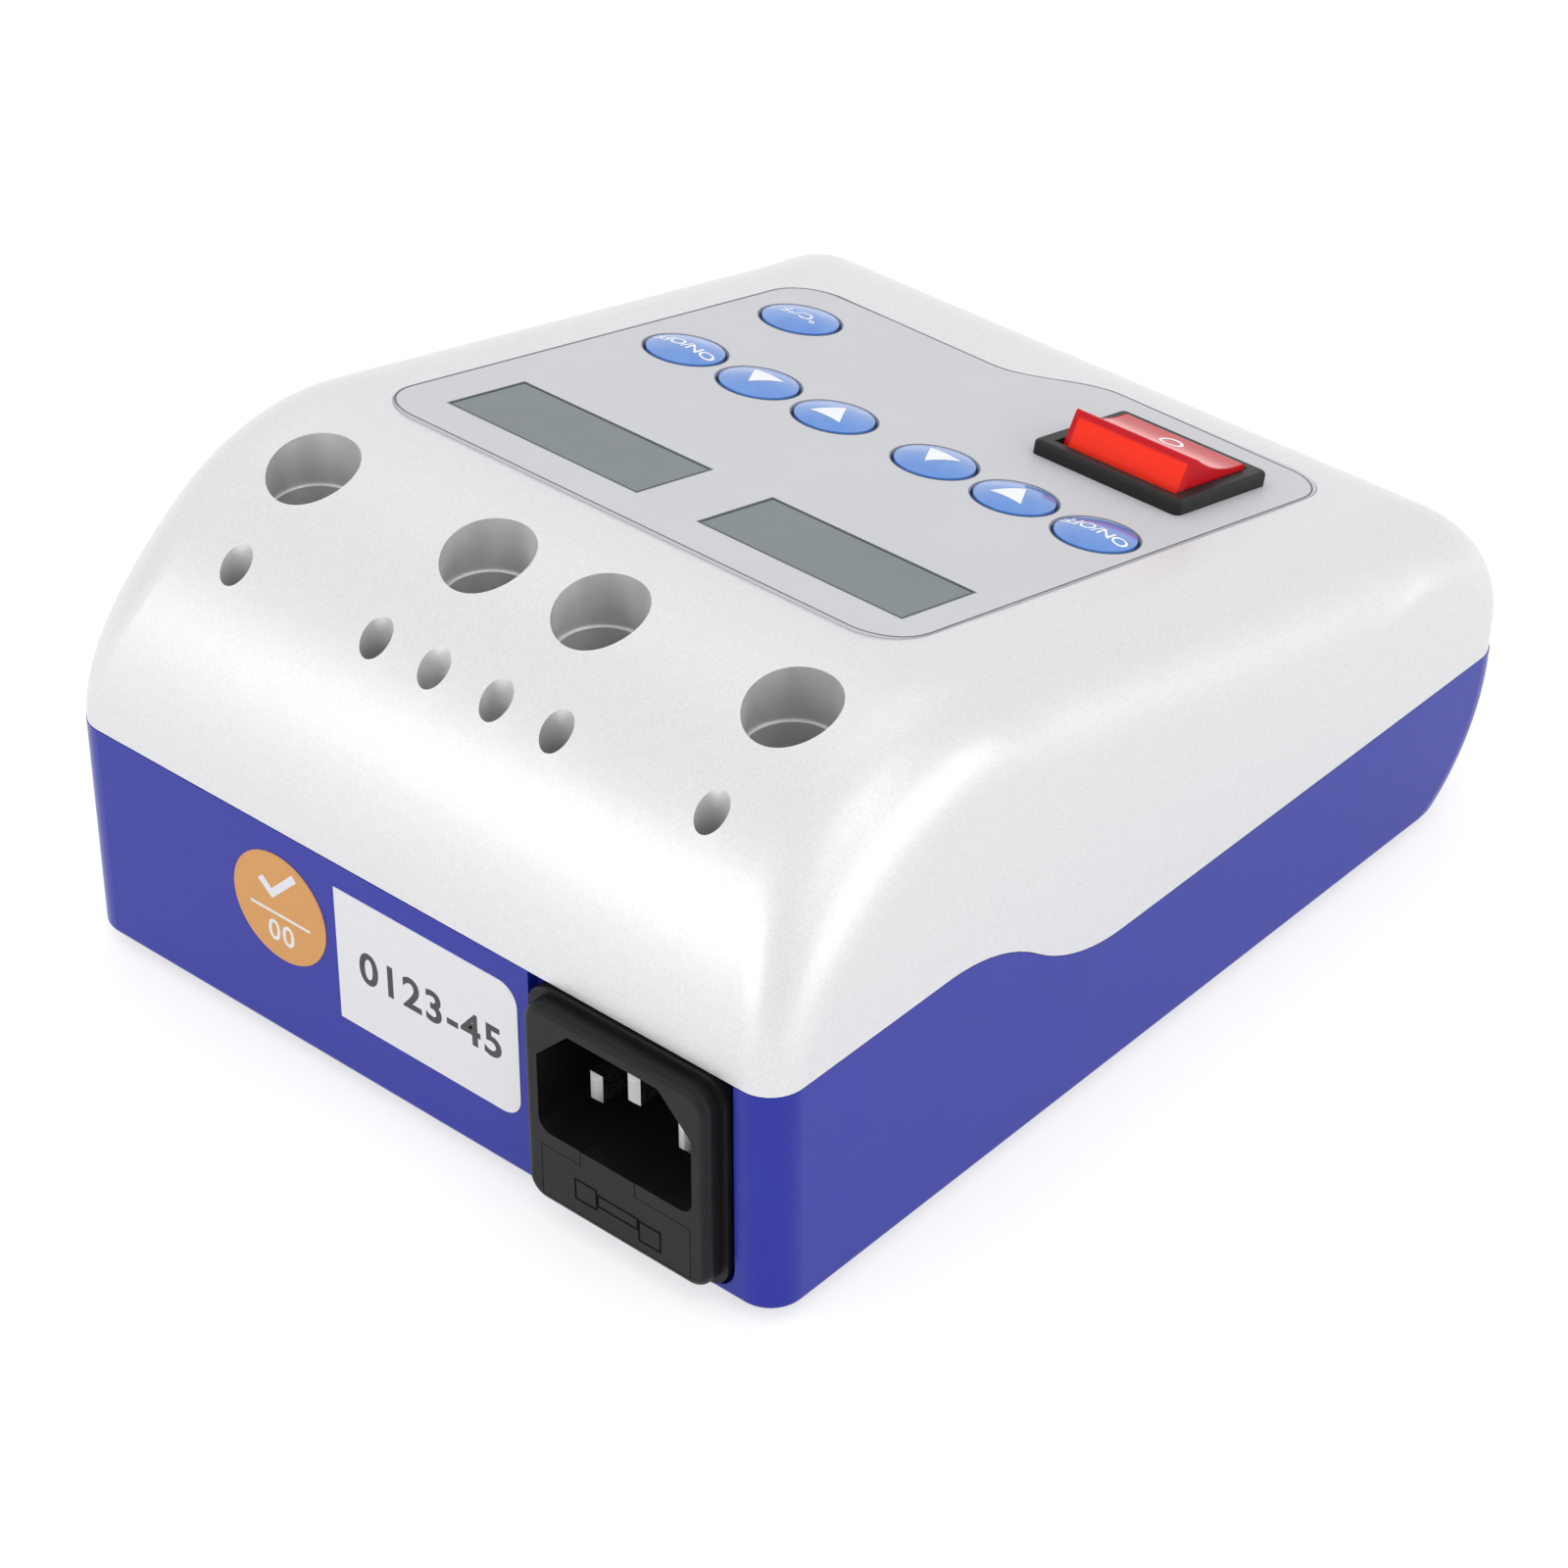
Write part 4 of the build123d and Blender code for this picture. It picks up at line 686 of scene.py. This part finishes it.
@dataclass
class Surface:
    """A flat place on the object that marks lie on, with its own x, y and lift in millimetres."""

    origin: Vector
    x_dir: Vector
    y_dir: Vector

    def normal(self) -> Vector:
        """The direction straight out of the surface."""
        return self.x_dir.cross(self.y_dir)

    def point(self, x: float, y: float, lift: float) -> Vector:
        """A point over the surface, in metres."""
        return (self.origin + self.x_dir * x + self.y_dir * y + self.normal() * lift) * MM

    def matrix(self, x: float, y: float, lift: float) -> Matrix:
        """The placing of a piece drawn flat in metres."""
        turn = Matrix((self.x_dir, self.y_dir, self.normal())).transposed().to_4x4()
        return Matrix.Translation(self.point(x, y, lift)) @ turn


@dataclass(frozen=True)
class Lettering:
    """How words are set: height and thickening in millimetres, and the letters' spacing."""

    height: float
    bold: float
    spacing: float = 1.0


class Drawing:
    """Flat shapes as thin raised meshes on a surface."""

    def __init__(
        self,
        surface: Surface,
        lift: float,
        thickness: float = 0.03,
        bend: Callable[[float, float], float] | None = None,
    ) -> None:
        """Says where the shapes lie.

        Args:
            surface: The surface they lie on.
            lift: Their underside over the surface, in millimetres.
            thickness: Their thickness in millimetres.
            bend: The extra lift at each place of a curved surface, or none for a flat one.
        """
        self.surface = surface
        self.lift = lift
        self.thickness = thickness
        self.bend = bend

    def plate(
        self,
        name: str,
        outline: list[Point],
        holes: list[list[Point]] | None = None,
        at: Point = (0.0, 0.0),
    ) -> bpy.types.Object:
        """A thin plate with an outline and holes.

        Args:
            name: The piece's name.
            outline: Its outline in millimetres.
            holes: Outlines of its holes.
            at: Where its own middle lies on the surface.

        Returns:
            The piece.
        """
        curve = bpy.data.curves.new(name, "CURVE")
        curve.dimensions = "2D"
        curve.fill_mode = "BOTH"
        curve.extrude = self.thickness / 2 * MM
        for loop in [outline, *(holes or [])]:
            spline = curve.splines.new("POLY")
            spline.points.add(len(loop) - 1)
            for point, (x, y) in zip(spline.points, loop):
                point.co = (x * MM, y * MM, 0.0, 1.0)
            spline.use_cyclic_u = True
        return self.settle(name, curve, *at)

    def words(self, name: str, text: str, at: Point, style: Lettering) -> bpy.types.Object:
        """Plain lettering.

        Args:
            name: The piece's name.
            text: What it says.
            at: Where its middle lies on the surface.
            style: How it is set.

        Returns:
            The piece.
        """
        curve = bpy.data.curves.new(name, "FONT")
        curve.body = text
        curve.size = style.height * MM
        curve.align_x = "CENTER"
        curve.align_y = "CENTER"
        curve.offset = style.bold * MM
        curve.space_character = style.spacing
        curve.extrude = self.thickness / 2 * MM
        return self.settle(name, curve, *at)

    def settle(self, name: str, curve: bpy.types.Curve, x: float, y: float) -> bpy.types.Object:
        """Turns a curve into a mesh piece in its place.

        Args:
            name: The piece's name.
            curve: The drawn curve.
            x: Its place across the surface.
            y: Its place along the surface.

        Returns:
            The piece.
        """
        drawn = bpy.data.objects.new(name + "_drawn", curve)
        bpy.context.scene.collection.objects.link(drawn)
        bpy.context.view_layer.update()
        graph = bpy.context.evaluated_depsgraph_get()
        mesh = bpy.data.meshes.new_from_object(drawn.evaluated_get(graph))
        bpy.data.objects.remove(drawn)
        mesh.name = name
        if self.bend is not None:
            self.drape(mesh)
        mesh.transform(self.surface.matrix(x, y, self.lift + self.thickness / 2))
        made = bpy.data.objects.new(name, mesh)
        bpy.context.scene.collection.objects.link(made)
        return made

    def drape(self, mesh: bpy.types.Mesh, longest: float = 0.6, rounds: int = 4) -> None:
        """Bends a flat mesh over the curved surface.

        Args:
            mesh: The mesh, flat and in metres.
            longest: The edge length from which an edge is halved, in millimetres.
            rounds: How often the long edges are halved at most.
        """
        form = bmesh.new()
        form.from_mesh(mesh)
        for _ in range(rounds):
            edges = [edge for edge in form.edges if edge.calc_length() > longest * MM]
            if not edges:
                break
            bmesh.ops.subdivide_edges(form, edges=edges, cuts=1)
            bmesh.ops.triangulate(form, faces=form.faces[:])
        for vertex in form.verts:
            vertex.co.z += self.bend(vertex.co.x / MM, vertex.co.y / MM) * MM
        form.to_mesh(mesh)
        form.free()


def ring(width: float, depth: float, x: float, y: float, steps: int = 72) -> list[Point]:
    """An oval outline."""
    turns = [2 * math.pi * i / steps for i in range(steps)]
    return [(x + width / 2 * math.cos(t), y + depth / 2 * math.sin(t)) for t in turns]


def box_outline(box: Box, grow: float = 0.0, at: Point = (0.0, 0.0)) -> list[Point]:
    """A rectangle's outline.

    Args:
        box: Its left, lower, right and upper side.
        grow: How far every side is moved outwards.
        at: Where the box's own origin lies.

    Returns:
        The outline's points.
    """
    x0, y0 = box[0] - grow + at[0], box[1] - grow + at[1]
    x1, y1 = box[2] + grow + at[0], box[3] + grow + at[1]
    return [(x0, y0), (x1, y0), (x1, y1), (x0, y1)]


def rounded(points: list[Point], radius: float, steps: int = ARC_STEPS) -> list[Point]:
    """An outline whose corners are rounded.

    Args:
        points: The corners in order.
        radius: The corners' radius.
        steps: Parts of each arc.

    Returns:
        The outline's points.
    """
    made: list[Point] = []
    for i, corner in enumerate(points):
        here = Vector(corner)
        back = (Vector(points[i - 1]) - here).normalized()
        ahead = (Vector(points[(i + 1) % len(points)]) - here).normalized()
        half = back.angle(ahead) / 2
        reach = radius / math.tan(half)
        start = here + back * reach
        end = here + ahead * reach
        middle = here + (back + ahead).normalized() * (radius / math.sin(half))
        first = start - middle
        last = end - middle
        turn = first.angle_signed(last)
        for k in range(steps + 1):
            spun = first.copy()
            spun.rotate(Matrix.Rotation(-turn * k / steps, 2))
            made.append(tuple(middle + spun))
    return made


def show(piece: bpy.types.Object, material: bpy.types.Material, body: str) -> None:
    """Gives a piece its material and body.

    Args:
        piece: The piece.
        material: Its material.
        body: The body it rides on.
    """
    piece.data.materials.clear()
    piece.data.materials.append(material)
    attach(piece, body)
    log.info("piece %s rides on %s", piece.name, body)


class Finisher:
    """Gives every CAD node its finish."""

    def __init__(self, frame: dict) -> None:
        """Takes the loaded frame.
        """
        self.frame = frame
        self.made = {slot: finish.make() for slot, finish in SLOT_FINISHES.items()}

    def dress(self) -> None:
        """Puts each node's material on it."""
        for part in self.frame["record"]["subparts"]:
            node = self.frame["nodes"][part["node"]]
            material = self.made[part["material_slot"]]
            if not node.data.materials:
                node.data.materials.append(material)
            for index in range(len(node.data.materials)):
                node.data.materials[index] = material
            log.info("node %s wears %s", part["node"], material.name)


@dataclass(frozen=True)
class Key:
    """A key: its name, its place across and down the panel, and its mark."""

    name: str
    x: float
    down: float
    mark: Mark


KEYS = (
    Key("key_left_power", -34.3, KEY_ROW, Mark.POWER),
    Key("key_left_down", -21.4, KEY_ROW, Mark.DOWN),
    Key("key_left_up", -8.4, KEY_ROW, Mark.UP),
    Key("key_right_down", 8.4, KEY_ROW, Mark.DOWN),
    Key("key_right_up", 21.4, KEY_ROW, Mark.UP),
    Key("key_right_power", 34.3, KEY_ROW, Mark.POWER),
    Key("key_units", 34.0, 73.08, Mark.UNITS),
)


@dataclass
class Panel:
    """The sloping panel: the print on its overlay, the painted shade round the keys and the marks
    on the keys.
    """

    slope: float = 13.0
    rear_y: float = 33.46
    rear_z: float = 68.65
    overlay_top: float = 0.15
    left: float = -41.9
    right: float = 43.7
    short: float = 84.88
    long: float = 92.58
    step_start: float = -6.5
    step_run: float = 16.0
    step_parts: int = 24
    corner: float = 7.0
    print_lift: float = 0.004
    print_thickness: float = 0.02
    line_inset: float = 0.05
    line: float = 0.28
    window_x: float = 21.1
    window_y: float = 14.4
    window_width: float = 32.0
    window_height: float = 14.0
    frame_outside: float = 0.2
    frame_inside: float = 0.15
    key_radius: float = 5.3
    key_gap: float = 0.45
    key_rim: float = 0.1
    key_dome: float = 0.75
    # Where the painted shade round a key's gap starts, and how wide it is, in millimetres.
    gap_shade_clear: float = 0.02
    gap_shade_line: float = 0.12
    arrow_half: float = 2.5
    arrow_foot: float = 2.1
    arrow_tip: float = 2.3
    power_style: Lettering = Lettering(height=2.85, bold=0.03, spacing=0.92)
    units_style: Lettering = Lettering(height=2.7, bold=0.03)

    def surface(self) -> Surface:
        """The panel's plane, with y towards the rear."""
        tilt = math.radians(self.slope)
        return Surface(
            Vector((0.0, self.rear_y, self.rear_z)),
            Vector((1.0, 0.0, 0.0)),
            Vector((0.0, math.cos(tilt), math.sin(tilt))),
        )

    def outline(self, inset: float) -> list[Point]:
        """The overlay's outline, drawn in by an inset.

        Args:
            inset: How far inside the edge, in millimetres.

        Returns:
            The outline's points.
        """
        left, right = self.left + inset, self.right - inset
        short, long = -self.short + inset, -self.long + inset
        square = [(left, -inset), (right, -inset), (right, short), (left, long)]
        points = rounded(square, self.corner - inset)
        before_step = 3 * (ARC_STEPS + 1)
        curve = []
        for k in range(self.step_parts + 1):
            share = k / self.step_parts
            smooth = 0.5 - 0.5 * math.cos(math.pi * share)
            across = self.step_start + self.step_run - self.step_run * share
            curve.append((across, short + (long - short) * smooth))
        return points[:before_step] + curve + points[before_step:]

    def dress(self, inks: Inks) -> None:
        """Adds the print, the painted shade round the keys and the keys' marks.

        Args:
            inks: The inks.
        """
        lift = self.overlay_top + self.print_lift
        print_on = Drawing(self.surface(), lift, self.print_thickness)
        inside = self.outline(self.line_inset + self.line)
        edge = print_on.plate("overlay_edge_line", self.outline(self.line_inset), [inside])
        show(edge, inks.get("edge"), Body.CASE.value)
        wide, tall = self.window_width / 2, self.window_height / 2
        window = (-wide, -tall, wide, tall)
        for side, sign in (("left", -1), ("right", 1)):
            middle = (sign * self.window_x, -self.window_y)
            outer = box_outline(window, self.frame_outside, middle)
            inner = box_outline(window, -self.frame_inside, middle)
            frame = print_on.plate(f"window_{side}_frame_line", outer, [inner])
            show(frame, inks.get("frame"), Body.CASE.value)
        for key in KEYS:
            self.rim(key, print_on, inks)
            self.cap(key, inks)

    def rim(self, key: Key, print_on: Drawing, inks: Inks) -> None:
        """The dark line round a key's hole, painted shade that darkens the gap round the key.

        Args:
            key: The key.
            print_on: The overlay's drawing.
            inks: The inks.
        """
        hole = 2 * (self.key_radius + self.key_gap + self.gap_shade_clear)
        size = hole + 2 * self.gap_shade_line
        inner = ring(hole, hole, key.x, -key.down)
        line = print_on.plate(key.name + "_ring", ring(size, size, key.x, -key.down), [inner])
        show(line, inks.get("ring"), Body.CASE.value)

    def dome(self, x: float, y: float) -> float:
        """How far a key's dome rises over its rim, at a place from its middle."""
        ball = (self.key_radius**2 + self.key_dome**2) / (2 * self.key_dome)
        return math.sqrt(ball**2 - x * x - y * y) - ball + self.key_dome

    def cap(self, key: Key, inks: Inks) -> None:
        """The mark on a key's dome, which rides on the key's own body.

        Args:
            key: The key.
            inks: The inks.
        """
        draw = Drawing(self.surface(), self.overlay_top + self.key_rim + MARK_LIFT, bend=self.dome)
        name, place = key.name + "_mark", (key.x, -key.down)
        if key.mark is Mark.POWER:
            made = draw.words(name, key.mark.value, place, self.power_style)
        elif key.mark is Mark.UNITS:
            made = draw.words(name, key.mark.value, place, self.units_style)
        else:
            turn = 1 if key.mark is Mark.UP else -1
            foot, tip = -self.arrow_foot * turn, self.arrow_tip * turn
            arrow = [(-self.arrow_half, foot), (self.arrow_half, foot), (0.0, tip)]
            made = draw.plate(name, arrow, at=place)
        show(made, inks.get("white"), key.name)


@dataclass
class PowerSwitch:
    """The marks on the rocker's hollow top."""

    x: float = -24.6
    down: float = 74.08
    lift: float = -1.3
    rest_angle: float = 15.0
    dish_radius: float = 18.3
    dish_floor: float = 4.9
    round_along: float = -3.0
    round_width: float = 3.4
    round_depth: float = 3.0
    round_line: float = 0.45
    straight: Box = (-0.25, 1.6, 0.25, 4.4)

    def dish(self, _x: float, y: float) -> float:
        """How high the rocker's hollow top lies over its pivot; only the place along it counts."""
        return self.dish_floor + self.dish_radius - math.sqrt(self.dish_radius**2 - y * y)

    def dress(self, panel: Panel, inks: Inks) -> None:
        """Adds the round and the straight mark to the rocker's two ends.

        Args:
            panel: The panel that the switch sits in.
            inks: The inks.
        """
        base = panel.surface()
        tilt = math.radians(panel.slope + self.rest_angle)
        pivot = base.point(self.x, -self.down, self.lift) / MM
        y_dir = Vector((0.0, math.cos(tilt), math.sin(tilt)))
        face = Surface(pivot, Vector((1.0, 0.0, 0.0)), y_dir)
        draw = Drawing(face, MARK_LIFT, bend=self.dish)
        width, depth = self.round_width, self.round_depth
        outer = ring(width, depth, 0.0, self.round_along)
        line = 2 * self.round_line
        inner = ring(width - line, depth - line, 0.0, self.round_along)
        off = draw.plate("rocker_off_mark", outer, [inner])
        on = draw.plate("rocker_on_mark", box_outline(self.straight))
        for piece in (off, on):
            show(piece, inks.get("white"), Body.ROCKER.value)


TICK = [(-3.6, 3.1), (-2.7, 3.9), (-1.2, 2.5), (2.6, 6.3), (3.4, 5.5), (-1.2, 1.0)]
FUSE_SYMBOL = ((-6.6, 4.7, -3.0, 7.9), (3.6, 3.9, 7.2, 7.1), (-3.0, 5.4, 3.6, 7.3))


@dataclass
class RearWall:
    """The two stickers' print and the symbol engraved on the fuse drawer."""

    wall_y: float = 74.0
    face_y: float = 77.0
    floor_z: float = 2.0
    sticker: float = 0.12
    print_lift: float = 0.003
    print_thickness: float = 0.015
    label_left: float = -18.7
    label_right: float = 12.0
    label_bottom: float = 8.6
    label_top: float = 28.6
    label_shift: Point = (0.6, -0.3)
    label_style: Lettering = Lettering(height=6.6, bold=0.14, spacing=1.12)
    seal_x: float = 22.0
    seal_z: float = 20.3
    seal_line: Box = (-5.3, -1.35, 5.3, -0.95)
    seal_drop: float = 4.1
    seal_style: Lettering = Lettering(height=4.4, bold=0.05, spacing=1.12)
    drawer_x: float = -36.7
    engraving_lift: float = 0.004
    engraving_line: float = 0.22

    def surface(self, y: float) -> Surface:
        """A plane facing the rear, with x towards the operator's left."""
        return Surface(
            Vector((0.0, y, self.floor_z)), Vector((-1.0, 0.0, 0.0)), Vector((0.0, 0.0, 1.0))
        )

    def dress(self, inks: Inks) -> None:
        """Adds all the marks.

        Args:
            inks: The inks.
        """
        lift = self.sticker + self.print_lift
        paper = Drawing(self.surface(self.wall_y), lift, self.print_thickness)
        middle_x = -(self.label_left + self.label_right) / 2 + self.label_shift[0]
        middle_z = (self.label_bottom + self.label_top) / 2 + self.label_shift[1]
        digits = paper.words(
            "date_label_digits", "0123-45", (middle_x, middle_z), self.label_style
        )
        show(digits, inks.get("digits"), Body.CASE.value)
        self.seal(paper, inks)
        self.engraving(inks)

    def seal(self, paper: Drawing, inks: Inks) -> None:
        """The round sticker's tick, line and digits.

        Args:
            paper: The drawing on the stickers.
            inks: The inks.
        """
        x, z = -self.seal_x, self.seal_z
        tick = paper.plate("seal_tick", [(x + across, z + up) for across, up in TICK])
        line = paper.plate("seal_line", box_outline(self.seal_line, at=(x, z)))
        number = paper.words("seal_digits", "00", (x, z - self.seal_drop), self.seal_style)
        for piece in (tick, line, number):
            show(piece, inks.get("white"), Body.CASE.value)

    def engraving(self, inks: Inks) -> None:
        """The fuse symbol on the drawer's front: three joined boxes in outline, in painted groove
        shade.

        Args:
            inks: The inks.
        """
        draw = Drawing(self.surface(self.face_y), self.engraving_lift)
        place = (-self.drawer_x, 0.0)
        for index, box in enumerate(FUSE_SYMBOL):
            inner = box_outline(box, -self.engraving_line, place)
            made = draw.plate(f"fuse_symbol_{index}", box_outline(box, at=place), [inner])
            show(made, inks.get("engraved"), Body.DRAWER.value)


@dataclass(frozen=True)
class Lamp:
    """A soft rectangular lamp: its place and size in metres, and its power in watts."""

    name: str
    place: Point3
    size: Point
    power: float


LAMPS = (
    Lamp("key_lamp", (-0.9, 0.2, 1.1), (0.9, 0.9), 1.4),
    Lamp("rear_lamp", (0.4, 1.3, 0.5), (1.0, 0.6), 2.9),
    Lamp("top_lamp", (0.3, -0.4, 1.4), (1.2, 1.0), 0.8),
    Lamp("side_lamp", (-1.3, -0.3, 0.3), (1.4, 0.6), 2.6),
)


@dataclass
class Studio:
    """Floor, lights, background and the camera."""

    focal_px: float = 4741.16
    frame_px: float = 1600.0
    sensor: float = 36.0
    clip_near: float = 0.01
    clip_far: float = 20.0
    azimuth: float = 221.07
    elevation: float = 35.80
    distance: float = 615.43
    side_shift: float = 0.21
    up_shift: float = 10.01
    centre: Point3 = (-0.3, 5.3, 2.0)
    sky: float = 0.95
    floor_half: float = 3.0
    floor_glow: float = 0.62
    lamps_aim: Point3 = (0.0, 0.0, 0.03)

    def camera(self) -> None:
        """Puts the camera where the photograph was taken from."""
        turn, rise = math.radians(self.azimuth), math.radians(self.elevation)
        back = Vector(
            (math.sin(turn) * math.cos(rise), -math.cos(turn) * math.cos(rise), math.sin(rise))
        )
        right = (-back).cross(Vector((0.0, 0.0, 1.0))).normalized()
        up = right.cross(-back)
        eye = Vector(self.centre) + back * self.distance
        eye = eye + right * self.side_shift + up * self.up_shift
        data = bpy.data.cameras.new("camera")
        data.sensor_width = self.sensor
        data.lens = self.focal_px / self.frame_px * self.sensor
        data.clip_start = self.clip_near
        data.clip_end = self.clip_far
        made = bpy.data.objects.new("camera", data)
        bpy.context.scene.collection.objects.link(made)
        turned = Matrix((right, up, back)).transposed().to_4x4()
        made.matrix_world = Matrix.Translation(eye * MM) @ turned
        bpy.context.scene.camera = made

    def light(self, lamp: Lamp) -> None:
        """Puts up one lamp.

        Args:
            lamp: The lamp.
        """
        data = bpy.data.lights.new(lamp.name, "AREA")
        data.shape = "RECTANGLE"
        data.size, data.size_y = lamp.size
        data.energy = lamp.power
        made = bpy.data.objects.new(lamp.name, data)
        bpy.context.scene.collection.objects.link(made)
        made.location = lamp.place
        made.rotation_mode = "QUATERNION"
        back = Vector(lamp.place) - Vector(self.lamps_aim)
        made.rotation_quaternion = back.to_track_quat("Z", "Y")

    def seen(self, tree: bpy.types.NodeTree) -> bpy.types.NodeSocket:
        """One for camera, glossy and transmission rays, and nothing for the others."""
        path = tree.nodes.new("ShaderNodeLightPath")
        total = path.outputs["Is Camera Ray"]
        for kind in ("Is Glossy Ray", "Is Transmission Ray"):
            either = tree.nodes.new("ShaderNodeMath")
            either.operation = "MAXIMUM"
            tree.links.new(total, either.inputs[0])
            tree.links.new(path.outputs[kind], either.inputs[1])
            total = either.outputs["Value"]
        return total

    def background(self) -> None:
        """A white world, dimmer for the light that it gives."""
        world = bpy.data.worlds.new("studio")
        bpy.context.scene.world = world
        world.use_nodes = True
        tree = world.node_tree
        shader = tree.nodes["Background"]
        shader.inputs["Color"].default_value = (1.0, 1.0, 1.0, 1.0)
        level = tree.nodes.new("ShaderNodeMapRange")
        level.inputs["To Min"].default_value = self.sky
        level.inputs["To Max"].default_value = 1.0
        tree.links.new(self.seen(tree), level.inputs["Value"])
        tree.links.new(level.outputs["Result"], shader.inputs["Strength"])

    def floor(self) -> None:
        """A white floor that keeps the object's faint shadow."""
        mesh = bpy.data.meshes.new("floor")
        half = self.floor_half
        square = [(x, y, 0.0) for x, y in box_outline((-half, -half, half, half))]
        mesh.from_pydata(square, [], [(0, 1, 2, 3)])
        made = bpy.data.objects.new("floor", mesh)
        bpy.context.scene.collection.objects.link(made)
        graph = Graph("floor_look")
        graph.set(Base_Color=(0.5, 0.5, 0.5), Roughness=0.8, Specular_IOR_Level=0.1)
        graph.set(Emission_Color=(1.0, 1.0, 1.0))
        glow = graph.math("MULTIPLY", self.seen(graph.tree), self.floor_glow)
        graph.link(glow, graph.shader.inputs["Emission Strength"])
        mesh.materials.append(graph.material)

    def build(self) -> None:
        """Sets up the whole studio."""
        self.camera()
        self.background()
        self.floor()
        for lamp in LAMPS:
            self.light(lamp)
        bpy.context.scene.view_settings.view_transform = "Standard"


def main() -> None:
    """Loads the frame and builds every class's pieces in order."""
    logging.basicConfig(level=logging.INFO, format="%(message)s")
    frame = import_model()
    Finisher(frame).dress()
    inks = Inks()
    panel = Panel()
    panel.dress(inks)
    PowerSwitch().dress(panel, inks)
    RearWall().dress(inks)
    Studio().build()
    bpy.context.view_layer.update()


if __name__ == "__main__":
    main()
